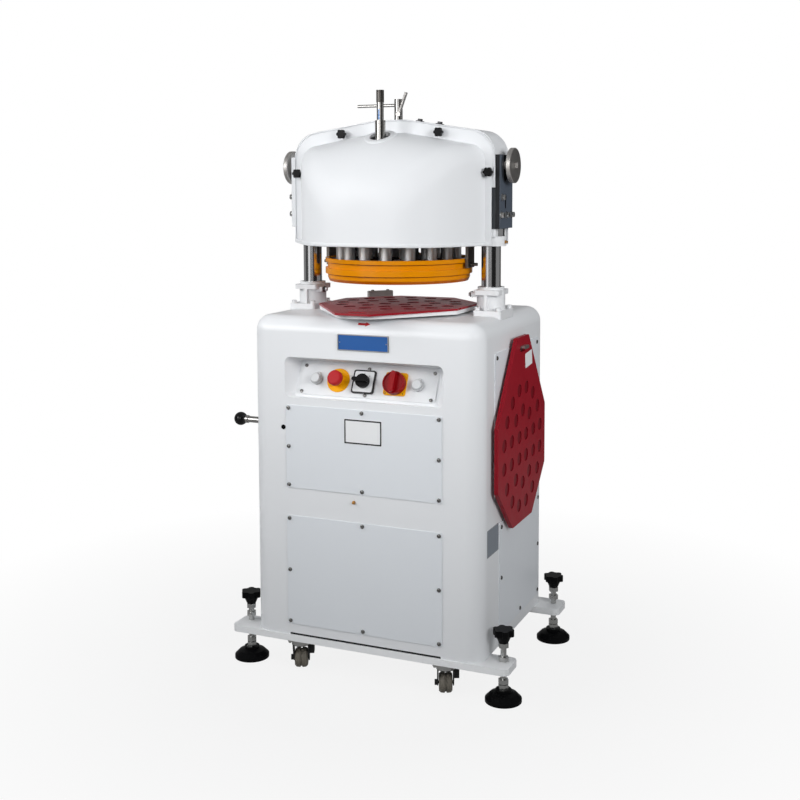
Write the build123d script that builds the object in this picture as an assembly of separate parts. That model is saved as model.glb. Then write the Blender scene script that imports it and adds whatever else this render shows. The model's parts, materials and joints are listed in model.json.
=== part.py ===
from build123d import *
import os
from math import cos, radians, sin, sqrt, tan

# Dough divider and rounder on a floor cabinet, in millimetres.
# +Z is up and the operator stands at -Y. The origin is on the floor, in the middle of the footprint.

# Clearances, and how deep pieces of one casting or weld reach into each other
running_gap = 0.05
free_gap = 0.3
weld = 1

# Axis of the rounding table, the ring and the columns
axis_y = -5.5

# Base bars, feet and castors
bar_end_reach = 67
bar_width = 80
bar_thickness = 16
bar_bottom = 82
bar_overhang = 4
bar_end_radius = 16
foot_inset = 27.5
foot_front_shift = 12.4
foot_rear_shift = 10
foot_travel = 10
pad_radius = 44
pad_rim = 8
pad_shoulder_radius = 33
pad_shoulder_height = 19
pad_neck_radius = 19
pad_cone_step = 2
pad_neck_height = 7
pad_height = 30
spindle_radius = 7
nut_flats = 22
nut_height = 11
nut_spacing = 2
foot_knob_radius = 26
foot_knob_head = 15.5
star_lobes = 6
star_lobe_share = 0.3
star_core_share = 0.8
foot_hub_radius = 11
foot_hub_top_radius = 19
foot_hub_height = 18
foot_spindle_length = 112
castor_inset = 108
castor_side_shift = 11
castor_turn = 23.3
castor_shift = -13
castor_plate_size = 52
castor_plate_thickness = 4
castor_plate_corner = 6.5
castor_trail = 14
castor_wheel_radius = 25
castor_wheel_width = 32
castor_floor_gap = 2
castor_tread_groove = 3
castor_tread_shoulder = 5
castor_tread_land = 4
castor_tread_crown = 1
castor_cheek = 3
castor_cheek_gap = 1.5
castor_axle_radius = 4
castor_axle_land = 5
castor_axle_head_radius = 7
castor_axle_head = 6
castor_stem_radius = 6
castor_stem_length = 10
castor_head_radius = 23
castor_head_height = 10
castor_brake_width = 12
castor_brake_length = 26
castor_brake_height = 28

# Cabinet shell
column_inset = 56
cabinet_front = -231.5
cabinet_rear = 263.5
cabinet_height = 802
corner_radius = 40
top_radius_step = 2
wall = 4
floor_lift = 14
floor_thickness = 6
toe_slot_width = 406
toe_slot_height = 5

# Flat covers
cover_thickness = 2
cover_lap = 16
cover_corner = 4
front_cover_inset = 97
upper_cover_drop = 219
upper_cover_height = 207
cover_spacing = 70.5
lower_cover_lift = 29
side_upper_front_inset = 91.5
side_upper_rear_inset = 59.5
side_upper_drop = 78
side_lower_front_inset = 128.5
side_lower_rear_inset = 41.5
rear_cover_inset = 64
rear_cover_drop = 60

# Control recess and its inclined panel
recess_inset = 94
recess_height = 100
recess_drop = 150
recess_corner = 16
panel_inset = 27
panel_height = 80
panel_tilt = 25.6
panel_depth = 33
panel_drop = 7
panel_thickness = 2
panel_margin = 7
panel_corner = 10
panel_lap = 10

# Controls on the panel, placed along its length
left_button_x = -136
stop_x = -77
selector_x = -8
main_switch_x = 76
right_button_x = 134
button_cap_radius = 11.5
button_ring_wall = 2.7
button_ring_height = 8
button_travel = 4
button_height = 14
button_cap_round = 1.5
button_stem_radius = 5
stem_reach = 14
stop_disc_radius = 30
stop_disc_thickness = 2
stop_collar_radius = 15
stop_collar_height = 10
stop_stem_radius = 11
stop_travel = 5
stop_cap_radius = 19
stop_cap_height = 13
stop_cap_round = 5.9
switch_plate_size = 57
switch_plate_corner = 6
selector_plate_thickness = 5
selector_hub_radius = 17
selector_hub_height = 12
selector_grip_length = 44
selector_grip_width = 10
selector_grip_height = 12
main_plate_thickness = 4
main_disc_radius = 28
main_disc_height = 13
main_grip_length = 52
main_grip_width = 13
main_grip_height = 13
switch_shaft_radius = 5

# Lever on the left side
lever_setback = 47.5
lever_rise = 35
lever_pivot_depth = 104
lever_rod_radius = 8
lever_knob_reach = 62
lever_knob_radius = 17
lever_hub_radius = 17
lever_hub_length = 30
lever_pin_radius = 7
lever_swing = 10
lever_cheek = 6
lever_slot_gap = 3
lever_collar_step = 2
lever_collar_length = 9

# Columns and their guides
column_gap = 61
column_radius = 24
column_nut_radius = 33
column_nut_height = 18
bush_wall = 4
housing_wall = 7
guide_base_width = 72
guide_base_depth = 104
guide_base_height = 13
guide_base_offset = 6
guide_base_corner = 6
guide_skirt = 24
guide_body_height = 37
guide_rib = 8
guide_flange_width = 66
guide_flange_depth = 84
guide_flange_height = 12
guide_flange_corner = 8
guide_collar_height = 7
guide_collar_step = 2
guide_spigot_depth = 45
ear_reach = 42
ear_y = -18
ear_width = 26
ear_height = 12
ear_pin_radius = 5
ear_pin_length = 9

# Rounding table and moulding plates
table_gap = 5
table_thickness = 9
table_tongue_setback = 14
table_tongue_width = 84
table_tip_corner = 62
table_corner = 12
plate_margin = 2
plate_thickness = 5
plate_tongue_length = 87
plate_tongue_width = 91
plate_corner = 8
plate_slot_length = 50
plate_slot_width = 16
plate_slot_inset = 30
pocket_radius = 16
pocket_depth = 2
stop_block_length = 70
stop_block_width = 14
stop_block_height = 32
stop_block_gap = 33
stop_block_chamfer = 1.5
stop_block_shift = 31

# Spare plates hung on the right side
spare_centre_y = 19.5
spare_drop = 330
spare_standoff = 8
hanger_width = 36
hanger_thickness = 8
hanger_reach = 28
hanger_base_width = 56
hanger_base_height = 32
hanger_base_thickness = 3
hanger_base_corner = 4
hanger_corner = 3.2

# Orbital drive inside the cabinet
orbit_radius = 12
frame_drop = 310
frame_thickness = 12
frame_front_gap = 81.5
frame_rear_gap = 63.5
frame_hole_gap = 6
bearing_radius = 40
bearing_height = 25
bearing_tube_wall = 12
bearing_tube_rise = 200
shaft_radius = 20
shaft_drop = 70
crank_disc_radius = 45
crank_disc_height = 16
crank_pin_radius = 15
crank_pin_height = 50
hub_radius = 42
hub_clearance = 4
hub_lift = 10
hub_flange_radius = 90
hub_arm_width = 40
hub_arm_height = 28
guide_crank_spacing = 120
guide_journal_radius = 12
guide_journal_length = 40
guide_disc_radius = 30
guide_pin_radius = 10
guide_pin_height = 34
guide_post_radius = 28
drive_pulley_radius = 100
motor_pulley_radius = 40
pulley_height = 25
pulley_drop = 65
belt_width = 12
belt_depth = 10
belt_proud = 1
motor_x = -150
motor_y = 130
motor_radius = 70
motor_height = 188
motor_shaft_radius = 12
motor_shaft_socket = 30
motor_flange_radius = 84
motor_flange_thickness = 12
motor_box_width = 70
motor_box_reach = 91
motor_box_lift = 85
motor_box_height = 75

# Lift under the columns
yoke_drop = 160
yoke_height = 40
yoke_depth = 70
yoke_corner = 23
yoke_overhang = 35
lift_rod_radius = 20
lift_rod_lift = 82
lift_barrel_radius = 45
lift_barrel_gap = 100
lift_barrel_base = 12

# Dough ring, stamps and knife
working_gap = 61
ring_height = 58
ring_play = 1
ring_wall = 5.5
ring_band_step = 6
ring_flange_height = 10
ring_neck_height = 15
ring_band_height = 14
ring_toe_height = 9
ring_toe_run = 3.9
ring_float = 5
inner_count = 4
middle_count = 10
outer_count = 16
outer_radius = 174.5
inner_stem_share = 0.6
knife_thickness = 2
knife_gap = 1
knife_height = 33
knife_lift = 23
knife_post_radius = 5
knife_post_gap = 1
knife_tab_width = 14
knife_travel = 22
knife_arm_width = 24
knife_arm_thickness = 8
knife_rod_radius = 12
knife_rod_length = 84
stamp_lift = 20
stamp_height = 25
stem_radius = 14
stem_view = 34
presser_inset = 4.5
presser_plate_thickness = 12
presser_plate_lift = 46
presser_guide_radius = 10
presser_guide_x = 100
presser_guide_y = 32
presser_guide_length = 120
presser_rise = 8
presser_drop = 18
scale_rod_y = -111
scale_rod_radius = 8.5
scale_rod_rise = 39
scale_grip_radius = 9.5
scale_grip_length = 30
sleeve_wall = 4.4
sleeve_drop = 4.4

# Head: cross beam, hoods and side plates
beam_boss_width = 72
beam_boss_height = 24
beam_boss_drop = 2
beam_boss_corner = 30
beam_cheek = 18
beam_overhang = 25
beam_depth = 80
bridge_rise = 133
bridge_height = 35
cross_shaft_rise = 26
cross_shaft_radius = 8
shaft_lug_x = 150
shaft_lug_width = 20
shaft_lug_depth = 44
shaft_lug_crown = 14
arch_post = 14
arch_span = 88
arch_height = 70
arch_cap = 16
arch_width = 40
side_plate_thickness = 12
side_plate_front = -43
side_plate_rear = 53
side_plate_lift = 41
side_plate_crown = 26
side_notch_width = 26
side_notch_depth = 52
side_slot_width = 12
side_slot_lift = 48
side_slot_height = 35
disc_radius = 43
disc_thickness = 12
disc_chamfer = 1.5
disc_hub_radius = 12
disc_hub_length = 13
disc_hole_radius = 4
disc_hole_depth = 12
disc_hole_turn = 25
square_size = 13
square_length = 8
ring_leg_thickness = 7.5
ring_foot_height = 26
ring_bracket_width = 44
ring_pin_radius = 4
ring_pin_reach = 25
ring_bracket_gap = 1.5
hood_height = 309
hood_shoulder_drop = 36
hood_peak_half = 40
hood_shoulder_radius = 72
hood_peak_radius = 30
hood_wall = 4
flange_thickness = 4
flange_front = -47
flange_band = 25
flange_top_band = 33
flange_notch = 9
flange_notch_height = 141
bulge_end_half_width = 60
bulge_plan_power = 1.1
bulge_plan_root = 0.4
bulge_roof_power = 2.2
bulge_round_share = 0.9
bulge_stations = (0, 0.25, 0.5, 0.7, 0.85, 0.94, 0.985, 1)
front_reach = 175
front_wall_height = 93
rear_flange = 53
rear_shoulder_radius = 64
rear_reach = 140
rear_wall_height = 118
boss_radius = 42
boss_height = 9
boss_tilt = 24
boss_hole_radius = 26
boss_drop = 50
boss_round = 7.2
roof_hole_gap = 3
hood_knob_radius = 12
hood_knob_head = 10
hood_knob_neck_radius = 6
hood_knob_neck = 8
hood_knob_upper_inset = 141
hood_knob_upper_drop = 33
hood_knob_lower_inset = 13
hood_knob_lower_lift = 178

# Weight spindle with its tommy bar and clamp lever
spindle_tube_radius = 10.5
spindle_rise = 54
spindle_seat_drop = 14
spindle_collar_radius = 16
spindle_collar_height = 7
tommy_radius = 4
tommy_reach = 113
tommy_drop = 15
clamp_y = -16
clamp_x = 8
clamp_drop = 38
clamp_radius = 4
clamp_length = 57
clamp_lean = 21
clamp_boss_radius = 6

# Rings of stamps that hold equal areas, so that the pieces of dough weigh the same
piece_count = inner_count + middle_count + outer_count
inner_radius = outer_radius * sqrt(inner_count / piece_count)
middle_radius = outer_radius * sqrt((inner_count + middle_count) / piece_count)
stamp_radii = (
    inner_radius * inner_stem_share,
    (inner_radius + middle_radius) / 2,
    (middle_radius + outer_radius) / 2,
)
stamp_counts = (inner_count, middle_count, outer_count)

# Widths that follow from the ring
ring_inner_radius = outer_radius + ring_play
ring_neck_radius = ring_inner_radius + ring_wall
ring_band_radius = ring_neck_radius + ring_band_step
ring_pin_end = ring_band_radius + ring_pin_reach
presser_plate_radius = outer_radius - presser_inset
plate_flats = 2 * (ring_band_radius + plate_margin)
plate_tongue_reach = plate_flats / 2 + plate_tongue_length
table_tongue_reach = plate_tongue_reach - table_tongue_setback
stop_block_distance = plate_flats / 2 + stop_block_gap
column_x = ring_band_radius + column_gap
ear_inner_x = column_x - ear_reach
beam_half_length = column_x + beam_overhang
beam_boss_inner = column_x - beam_boss_width / 2
hood_half_width = beam_half_length
hood_knob_upper_x = hood_half_width - hood_knob_upper_inset
hood_knob_lower_x = hood_half_width - hood_knob_lower_inset
yoke_length = 2 * (column_x + yoke_overhang)
cabinet_width = 2 * (column_x + column_inset)
cabinet_side = cabinet_width / 2
front_cover_width = cabinet_width - 2 * front_cover_inset
rear_cover_width = cabinet_width - 2 * rear_cover_inset
recess_width = cabinet_width - 2 * recess_inset
panel_width = recess_width - 2 * panel_inset
bar_length = cabinet_width + 2 * bar_end_reach
foot_x = bar_length / 2 - foot_inset
castor_x = cabinet_side - castor_inset
lever_pivot_x = lever_pivot_depth - cabinet_side
lever_knob_x = -cabinet_side - lever_knob_reach

# Depths that follow from the cabinet's front and rear
cabinet_depth = cabinet_rear - cabinet_front
cabinet_centre_y = (cabinet_rear + cabinet_front) / 2
front_bar_y = cabinet_front - bar_overhang + bar_width / 2
rear_bar_y = cabinet_rear + bar_overhang - bar_width / 2
foot_front_y = front_bar_y + foot_front_shift
foot_rear_y = rear_bar_y + foot_rear_shift
front_castor_y = front_bar_y + castor_shift
rear_castor_y = rear_bar_y + castor_shift
side_upper_front = cabinet_front + side_upper_front_inset
side_upper_rear = cabinet_rear - side_upper_rear_inset
side_lower_front = cabinet_front + side_lower_front_inset
side_lower_rear = cabinet_rear - side_lower_rear_inset
lever_y = cabinet_front + lever_setback
frame_front = cabinet_front + frame_front_gap
frame_rear = cabinet_rear - frame_rear_gap
top_radius = corner_radius - top_radius_step

# Levels that follow, from the floor up
cabinet_bottom = bar_bottom + bar_thickness
deck = cabinet_bottom + cabinet_height
floor_top = cabinet_bottom + floor_lift + floor_thickness
upper_cover_top = deck - upper_cover_drop
upper_cover_bottom = upper_cover_top - upper_cover_height
lower_cover_top = upper_cover_bottom - cover_spacing
lower_cover_bottom = cabinet_bottom + lower_cover_lift
side_upper_top = deck - side_upper_drop
rear_cover_top = deck - rear_cover_drop
recess_centre_z = deck - recess_drop
panel_centre_z = recess_centre_z - panel_drop
spare_centre_z = deck - spare_drop
frame_level = deck - frame_drop
lever_z = frame_level + lever_rise
bearing_tube_top = frame_level + bearing_tube_rise
shaft_bottom = frame_level - shaft_drop
pulley_bottom = frame_level - pulley_drop
yoke_bottom = frame_level - yoke_drop
table_bottom = deck + table_gap
table_top = table_bottom + table_thickness
plate_top = table_top + plate_thickness
ring_bottom = plate_top + working_gap
ring_top = ring_bottom + ring_height
hood_bottom = ring_top + stem_view
hood_top = hood_bottom + hood_height
presser_bottom = hood_bottom + presser_plate_lift
presser_top = presser_bottom + presser_plate_thickness
carrier_gap = knife_travel + presser_rise
carrier_bottom = presser_top + carrier_gap
carrier_top = carrier_bottom + knife_arm_thickness
scale_rod_top = hood_top + scale_rod_rise
sleeve_top = hood_top - sleeve_drop
bridge_bottom = hood_bottom + bridge_rise
bridge_top = bridge_bottom + bridge_height
cross_shaft_z = bridge_top + cross_shaft_rise
arch_top = bridge_top + arch_height
side_plate_bottom = hood_bottom + side_plate_lift
side_plate_top = cross_shaft_z + side_plate_crown
side_slot_bottom = side_plate_bottom + side_slot_lift
side_slot_top = side_slot_bottom + side_slot_height
hood_shoulder_z = hood_top - hood_shoulder_drop
flange_notch_top = hood_bottom + flange_notch_height
front_wall_top = hood_bottom + front_wall_height
rear_wall_top = hood_bottom + rear_wall_height
boss_z = hood_top - boss_drop
hood_knob_upper_z = hood_top - hood_knob_upper_drop
hood_knob_lower_z = hood_bottom + hood_knob_lower_lift
spindle_tube_top = hood_top + spindle_rise
tommy_z = spindle_tube_top - tommy_drop
clamp_z = spindle_tube_top - clamp_drop
boss_top = hood_bottom - beam_boss_drop + beam_boss_height
yoke_top = yoke_bottom + yoke_height
frame_top = frame_level + frame_thickness
shaft_y = axis_y + orbit_radius
guide_crank_y = shaft_y + guide_crank_spacing
crank_disc_bottom = bearing_tube_top + free_gap
crank_disc_top = crank_disc_bottom + crank_disc_height
hub_bottom = crank_disc_top + hub_lift
bush_outer = column_radius + running_gap + bush_wall
guide_top = deck + guide_base_height + guide_body_height + guide_flange_height
ring_pin_z = ring_top - ring_flange_height - ring_pin_radius - 4 * free_gap

nodes = {}


def keep(name, *pieces):
    """Files one or more solids under a node's name."""
    solids = [solid for piece in pieces for solid in piece.solids()]
    nodes[name] = solids[0] if len(solids) == 1 else Compound(solids)


def block(x0, x1, y0, y1, z0, z1):
    """Box between two opposite corners."""
    return Pos((x0 + x1) / 2, (y0 + y1) / 2, (z0 + z1) / 2) * Box(abs(x1 - x0), abs(y1 - y0), abs(z1 - z0))


def rod(x, y, z0, z1, radius):
    """Upright cylinder."""
    return Pos(x, y, (z0 + z1) / 2) * Cylinder(radius, z1 - z0)


def rod_x(x0, x1, y, z, radius):
    """Cylinder along X."""
    return Pos((x0 + x1) / 2, y, z) * Rot(0, 90, 0) * Cylinder(radius, abs(x1 - x0))


def rod_y(x, y0, y1, z, radius):
    """Cylinder along Y."""
    return Pos(x, (y0 + y1) / 2, z) * Rot(90, 0, 0) * Cylinder(radius, abs(y1 - y0))


def tube(x, y, z0, z1, outer, inner):
    """Upright pipe."""
    return rod(x, y, z0, z1, outer) - rod(x, y, z0, z1, inner)


def hex_nut(x, y, z):
    """Hexagon nut standing on a level."""
    return Pos(x, y, z) * extrude(RegularPolygon(nut_flats / 2, 6, major_radius=False), nut_height)


def star(radius, height):
    """Star knob head: round lobes about a core, standing on the XY plane."""
    lobe = radius * star_lobe_share
    outline = Circle(radius * star_core_share)
    for turn in PolarLocations(radius - lobe, star_lobes):
        outline += turn * Circle(lobe)
    return extrude(outline, height)


def polar(radius, turn, centre_y=axis_y):
    """Point at a radius and an angle about an upright axis."""
    return radius * cos(radians(turn)), centre_y + radius * sin(radians(turn))


# Base bars with the castor plates and the jam nut that is screwed down on one of them


def base_bar(centre_y, foot_y):
    outline = Pos(0, centre_y, bar_bottom) * RectangleRounded(bar_length, bar_width, bar_end_radius)
    bar = extrude(outline, bar_thickness)
    for side in (-1, 1):
        bar -= rod(side * foot_x, foot_y, bar_bottom, cabinet_bottom, spindle_radius + free_gap)
        stem_top = bar_bottom + castor_stem_length
        stem_y = centre_y + castor_shift
        stem_x = side * castor_x + castor_side_shift
        bar -= rod(stem_x, stem_y, bar_bottom, stem_top, castor_stem_radius + running_gap)
    return bar


def castor_plate(side, centre_y):
    size = castor_plate_size
    x = side * castor_x + castor_side_shift
    plate = Pos(x, centre_y, bar_bottom - castor_plate_thickness) * extrude(
        RectangleRounded(size, size, castor_plate_corner), castor_plate_thickness
    )
    hole = rod(x, centre_y, bar_bottom - castor_plate_thickness, bar_bottom, castor_stem_radius + running_gap)
    return plate - hole


jam_nut = hex_nut(foot_x, foot_front_y, cabinet_bottom)
jam_nut -= rod(foot_x, foot_front_y, cabinet_bottom, cabinet_bottom + nut_height, spindle_radius + free_gap)
castor_plates = [castor_plate(side, y) for y in (front_castor_y, rear_castor_y) for side in (-1, 1)]
keep(
    "base_bars",
    base_bar(front_bar_y, foot_front_y),
    base_bar(rear_bar_y, foot_rear_y),
    jam_nut,
    *castor_plates,
)


# Levelling feet: pad, screwed spindle with its nuts, and star knob


def foot(x, y, nut_is_loose):
    neck = pad_height - pad_neck_height
    cone_top = pad_neck_radius + pad_cone_step
    outline = Polyline(
        (0, 0),
        (pad_radius, 0),
        (pad_radius, pad_rim),
        (pad_shoulder_radius, pad_shoulder_height),
        (cone_top, neck),
        (pad_neck_radius, neck),
        (pad_neck_radius, pad_height),
        (0, pad_height),
        close=True,
    )
    pad = Pos(x, y) * revolve(Plane.XZ * make_face(outline), Axis.Z)
    spindle_top = pad_height + foot_spindle_length
    spindle = rod(x, y, pad_height, spindle_top, spindle_radius)
    for level in (pad_height, pad_height + nut_height + nut_spacing, spindle_top - nut_height):
        spindle += hex_nut(x, y, level)
    if nut_is_loose:
        spindle += hex_nut(x, y, cabinet_bottom + foot_travel + nut_spacing)
    knob = Pos(x, y, spindle_top + foot_hub_height) * star(foot_knob_radius, foot_knob_head)
    hub = Cone(foot_hub_radius, foot_hub_top_radius, foot_hub_height)
    knob += Pos(x, y, spindle_top + foot_hub_height / 2) * hub
    return pad, spindle, knob


for name, x, y, nut_is_loose in (
    ("foot_front_left", -foot_x, foot_front_y, True),
    ("foot_front_right", foot_x, foot_front_y, False),
    ("foot_rear_left", -foot_x, foot_rear_y, True),
    ("foot_rear_right", foot_x, foot_rear_y, True),
):
    keep(name, *foot(x, y, nut_is_loose))


# Swivel castors: forked head and wheel, turned as they stand in use

castor_axle_z = castor_floor_gap + castor_wheel_radius
castor_head_top = bar_bottom - castor_plate_thickness - free_gap
castor_head_bottom = castor_head_top - castor_head_height
cheek_inner = castor_wheel_width / 2 + castor_cheek_gap


def castor_fork():
    head = rod(0, 0, castor_head_bottom, castor_head_top, castor_head_radius)
    head += rod(0, 0, castor_head_top, bar_bottom + castor_stem_length - weld, castor_stem_radius)
    nose = castor_axle_radius + castor_axle_land
    side = Polyline(
        (-castor_head_radius + nose, castor_head_bottom),
        (castor_head_radius - nose / 2, castor_head_bottom),
        (castor_trail + nose, castor_axle_z + nose),
        (castor_trail + nose, castor_axle_z - nose / 2),
        (castor_trail, castor_axle_z - nose),
        (castor_trail - nose, castor_axle_z),
        close=True,
    )
    cheek = extrude(Plane.YZ * make_face(side), castor_cheek)
    head += Pos(cheek_inner) * cheek
    head += Pos(-cheek_inner - castor_cheek) * cheek
    tip = cheek_inner + castor_cheek
    axle = rod_x(-tip, tip, castor_trail, castor_axle_z, castor_axle_radius)
    axle += rod_x(-tip - castor_axle_head, -tip, castor_trail, castor_axle_z, castor_axle_head_radius)
    brake = block(
        tip,
        tip + castor_brake_width,
        castor_trail - castor_brake_length / 2,
        castor_trail + castor_brake_length / 2,
        castor_head_bottom - castor_brake_height,
        castor_head_bottom,
    )
    brake = fillet(brake.edges().filter_by(Axis.X).group_by(Axis.Z)[0], castor_brake_width / 2)
    return head + axle + brake


def castor_wheel():
    half = castor_wheel_width / 2
    shoulder = castor_wheel_radius - castor_tread_shoulder
    crown = castor_wheel_radius - castor_tread_crown
    land = half - castor_tread_land
    tread = Polyline(
        (-half, 0),
        (-half, shoulder),
        (-land, crown),
        (-castor_tread_groove, castor_wheel_radius),
        (-castor_tread_groove / 2, castor_wheel_radius - castor_tread_groove),
        (castor_tread_groove / 2, castor_wheel_radius - castor_tread_groove),
        (castor_tread_groove, castor_wheel_radius),
        (land, crown),
        (half, shoulder),
        (half, 0),
        close=True,
    )
    wheel = Pos(0, castor_trail, castor_axle_z) * revolve(make_face(tread), Axis.X)
    return wheel - rod_x(-half, half, castor_trail, castor_axle_z, castor_axle_radius + running_gap)


fork = castor_fork()
wheel = castor_wheel()
for place, side, y in (
    ("front_left", -1, front_castor_y),
    ("front_right", 1, front_castor_y),
    ("rear_left", -1, rear_castor_y),
    ("rear_right", 1, rear_castor_y),
):
    x = side * castor_x + castor_side_shift
    seat = Pos(x, y) * Rot(0, 0, castor_turn)
    keep("castor_fork_" + place, seat * fork)
    keep("castor_wheel_" + place, seat * wheel)


# Cabinet shell with its recess, its openings behind the covers and the holes in the deck

front_plane = Plane(origin=(0, cabinet_front, recess_centre_z), x_dir=(1, 0, 0), z_dir=(0, -1, 0))
panel_normal = (0, -cos(radians(panel_tilt)), sin(radians(panel_tilt)))
panel_plane = Plane(
    origin=(0, cabinet_front + panel_depth, panel_centre_z), x_dir=(1, 0, 0), z_dir=panel_normal
)


def cabinet_form(inset):
    """Cabinet block drawn in by an inset, with its rounded corners and top edge."""
    outline = RectangleRounded(cabinet_width - 2 * inset, cabinet_depth - 2 * inset, corner_radius - inset)
    body = extrude(Pos(0, cabinet_centre_y, cabinet_bottom) * outline, cabinet_height - inset)
    return fillet(body.edges().group_by(Axis.Z)[-1], top_radius - inset)


def recess_form(grow):
    """Recess that narrows from the front face to the inclined panel, grown by a wall."""
    mouth = RectangleRounded(recess_width + 2 * grow, recess_height + 2 * grow, recess_corner + grow)
    back = RectangleRounded(
        panel_width + 2 * (panel_margin + grow), panel_height + 2 * (panel_margin + grow), panel_corner + grow
    )
    return loft([front_plane.offset(-grow / 4) * mouth, panel_plane.offset(-grow) * back])


def cabinet_shell():
    hollow = cabinet_form(wall)
    floor = block(
        -cabinet_side, cabinet_side, cabinet_front, cabinet_rear, floor_top - floor_thickness, floor_top
    )
    shell = cabinet_form(0) - (hollow - floor)
    shell += recess_form(wall)
    shell -= recess_form(0)
    window = Box(panel_width - 2 * panel_lap, panel_height - 2 * panel_lap, 6 * wall)
    shell -= panel_plane * window
    deep = 2 * wall
    half_front = front_cover_width / 2 - cover_lap
    for low, high in ((upper_cover_bottom, upper_cover_top), (lower_cover_bottom, lower_cover_top)):
        shell -= block(
            -half_front,
            half_front,
            cabinet_front - deep,
            cabinet_front + deep,
            low + cover_lap,
            high - cover_lap,
        )
    for front, rear, low, high in (
        (side_upper_front, side_upper_rear, upper_cover_bottom, side_upper_top),
        (side_lower_front, side_lower_rear, lower_cover_bottom, lower_cover_top),
    ):
        shell -= block(
            cabinet_side - deep,
            cabinet_side + deep,
            front + cover_lap,
            rear - cover_lap,
            low + cover_lap,
            high - cover_lap,
        )
    half_rear = rear_cover_width / 2 - cover_lap
    shell -= block(
        -half_rear,
        half_rear,
        cabinet_rear - deep,
        cabinet_rear + deep,
        lower_cover_bottom + cover_lap,
        rear_cover_top - cover_lap,
    )
    shell -= block(
        -toe_slot_width / 2,
        toe_slot_width / 2,
        cabinet_front - deep,
        cabinet_front + deep,
        cabinet_bottom,
        cabinet_bottom + toe_slot_height,
    )
    slot_half = (cabinet_side + lever_pivot_x) * tan(radians(lever_swing)) + lever_rod_radius + lever_slot_gap
    slot_depth = lever_rod_radius + lever_slot_gap
    shell -= block(
        -cabinet_side - deep,
        -cabinet_side + deep,
        lever_y - slot_depth,
        lever_y + slot_depth,
        lever_z - slot_half,
        lever_z + slot_half,
    )
    shell -= rod(0, shaft_y, deck - deep, deck + deep, hub_radius + orbit_radius + hub_clearance)
    for side in (-1, 1):
        spigot = bush_outer + housing_wall + free_gap
        shell -= rod(side * column_x, axis_y, deck - guide_spigot_depth - wall, deck + deep, spigot)
    return shell


keep("cabinet_shell", cabinet_shell())


# Flat covers screwed over the openings


def front_cover(low, high):
    plane = Plane(origin=(0, cabinet_front, (low + high) / 2), x_dir=(1, 0, 0), z_dir=(0, -1, 0))
    return extrude(plane * RectangleRounded(front_cover_width, high - low, cover_corner), cover_thickness)


def side_cover(front, rear, low, high):
    centre = (cabinet_side, (front + rear) / 2, (low + high) / 2)
    plane = Plane(origin=centre, x_dir=(0, 1, 0), z_dir=(1, 0, 0))
    return extrude(plane * RectangleRounded(rear - front, high - low, cover_corner), cover_thickness)


keep("upper_front_cover", front_cover(upper_cover_bottom, upper_cover_top))
keep("lower_front_cover", front_cover(lower_cover_bottom, lower_cover_top))
keep(
    "right_upper_cover",
    side_cover(side_upper_front, side_upper_rear, upper_cover_bottom, side_upper_top),
)
keep(
    "right_lower_cover",
    side_cover(side_lower_front, side_lower_rear, lower_cover_bottom, lower_cover_top),
)
rear_plane = Plane(
    origin=(0, cabinet_rear, (lower_cover_bottom + rear_cover_top) / 2), x_dir=(-1, 0, 0), z_dir=(0, 1, 0)
)
rear_outline = RectangleRounded(rear_cover_width, rear_cover_top - lower_cover_bottom, cover_corner)
keep("rear_cover", extrude(rear_plane * rear_outline, cover_thickness))


# Control panel, its bezels and the controls

control_plane = panel_plane.offset(panel_thickness)


def on_panel(x, low, high, radius):
    """Cylinder that stands on the panel's face, between two heights."""
    return control_plane * (Pos(x, 0, (low + high) / 2) * Cylinder(radius, high - low))


def plate_on_panel(x, size, corner, thickness):
    """Square plate that lies on the panel's face."""
    return control_plane * extrude(Pos(x, 0) * RectangleRounded(size, size, corner), thickness)


def control_panel():
    panel = extrude(panel_plane * RectangleRounded(panel_width, panel_height, panel_corner), panel_thickness)
    for x, radius in (
        (left_button_x, button_stem_radius + free_gap),
        (right_button_x, button_stem_radius + free_gap),
        (stop_x, stop_stem_radius + free_gap),
        (selector_x, switch_shaft_radius + running_gap),
        (main_switch_x, switch_shaft_radius + running_gap),
    ):
        panel -= on_panel(x, -2 * panel_thickness, panel_thickness, radius)
    return panel


def control_bezels():
    ring_outer = button_cap_radius + free_gap + button_ring_wall
    pieces = []
    for x in (left_button_x, right_button_x):
        ring = on_panel(x, 0, button_ring_height, ring_outer)
        pieces.append(ring - on_panel(x, 0, button_ring_height, button_cap_radius + free_gap))
    disc = on_panel(stop_x, 0, stop_disc_thickness, stop_disc_radius)
    collar_top = stop_disc_thickness + stop_collar_height
    disc += on_panel(stop_x, 0, collar_top, stop_collar_radius)
    pieces.append(disc - on_panel(stop_x, 0, collar_top, stop_stem_radius + free_gap))
    for x, thickness in ((selector_x, selector_plate_thickness), (main_switch_x, main_plate_thickness)):
        plate = plate_on_panel(x, switch_plate_size, switch_plate_corner, thickness)
        pieces.append(plate - on_panel(x, 0, thickness, switch_shaft_radius + running_gap))
    return pieces


def push_button(x):
    cap = on_panel(x, button_travel + free_gap, button_height, button_cap_radius)
    cap = fillet(cap.edges().sort_by(SortBy.DISTANCE).filter_by(GeomType.CIRCLE)[-1:], button_cap_round)
    return cap + on_panel(x, -stem_reach, button_travel + weld, button_stem_radius)


def stop_button():
    rest = stop_disc_thickness + stop_collar_height + stop_travel + free_gap
    cap = Pos(stop_x, 0, rest + stop_cap_height / 2) * Cylinder(stop_cap_radius, stop_cap_height)
    cap = control_plane * fillet(cap.edges().group_by(Axis.Z)[-1], stop_cap_round)
    return cap + on_panel(stop_x, -stem_reach, rest + weld, stop_stem_radius)


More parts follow.
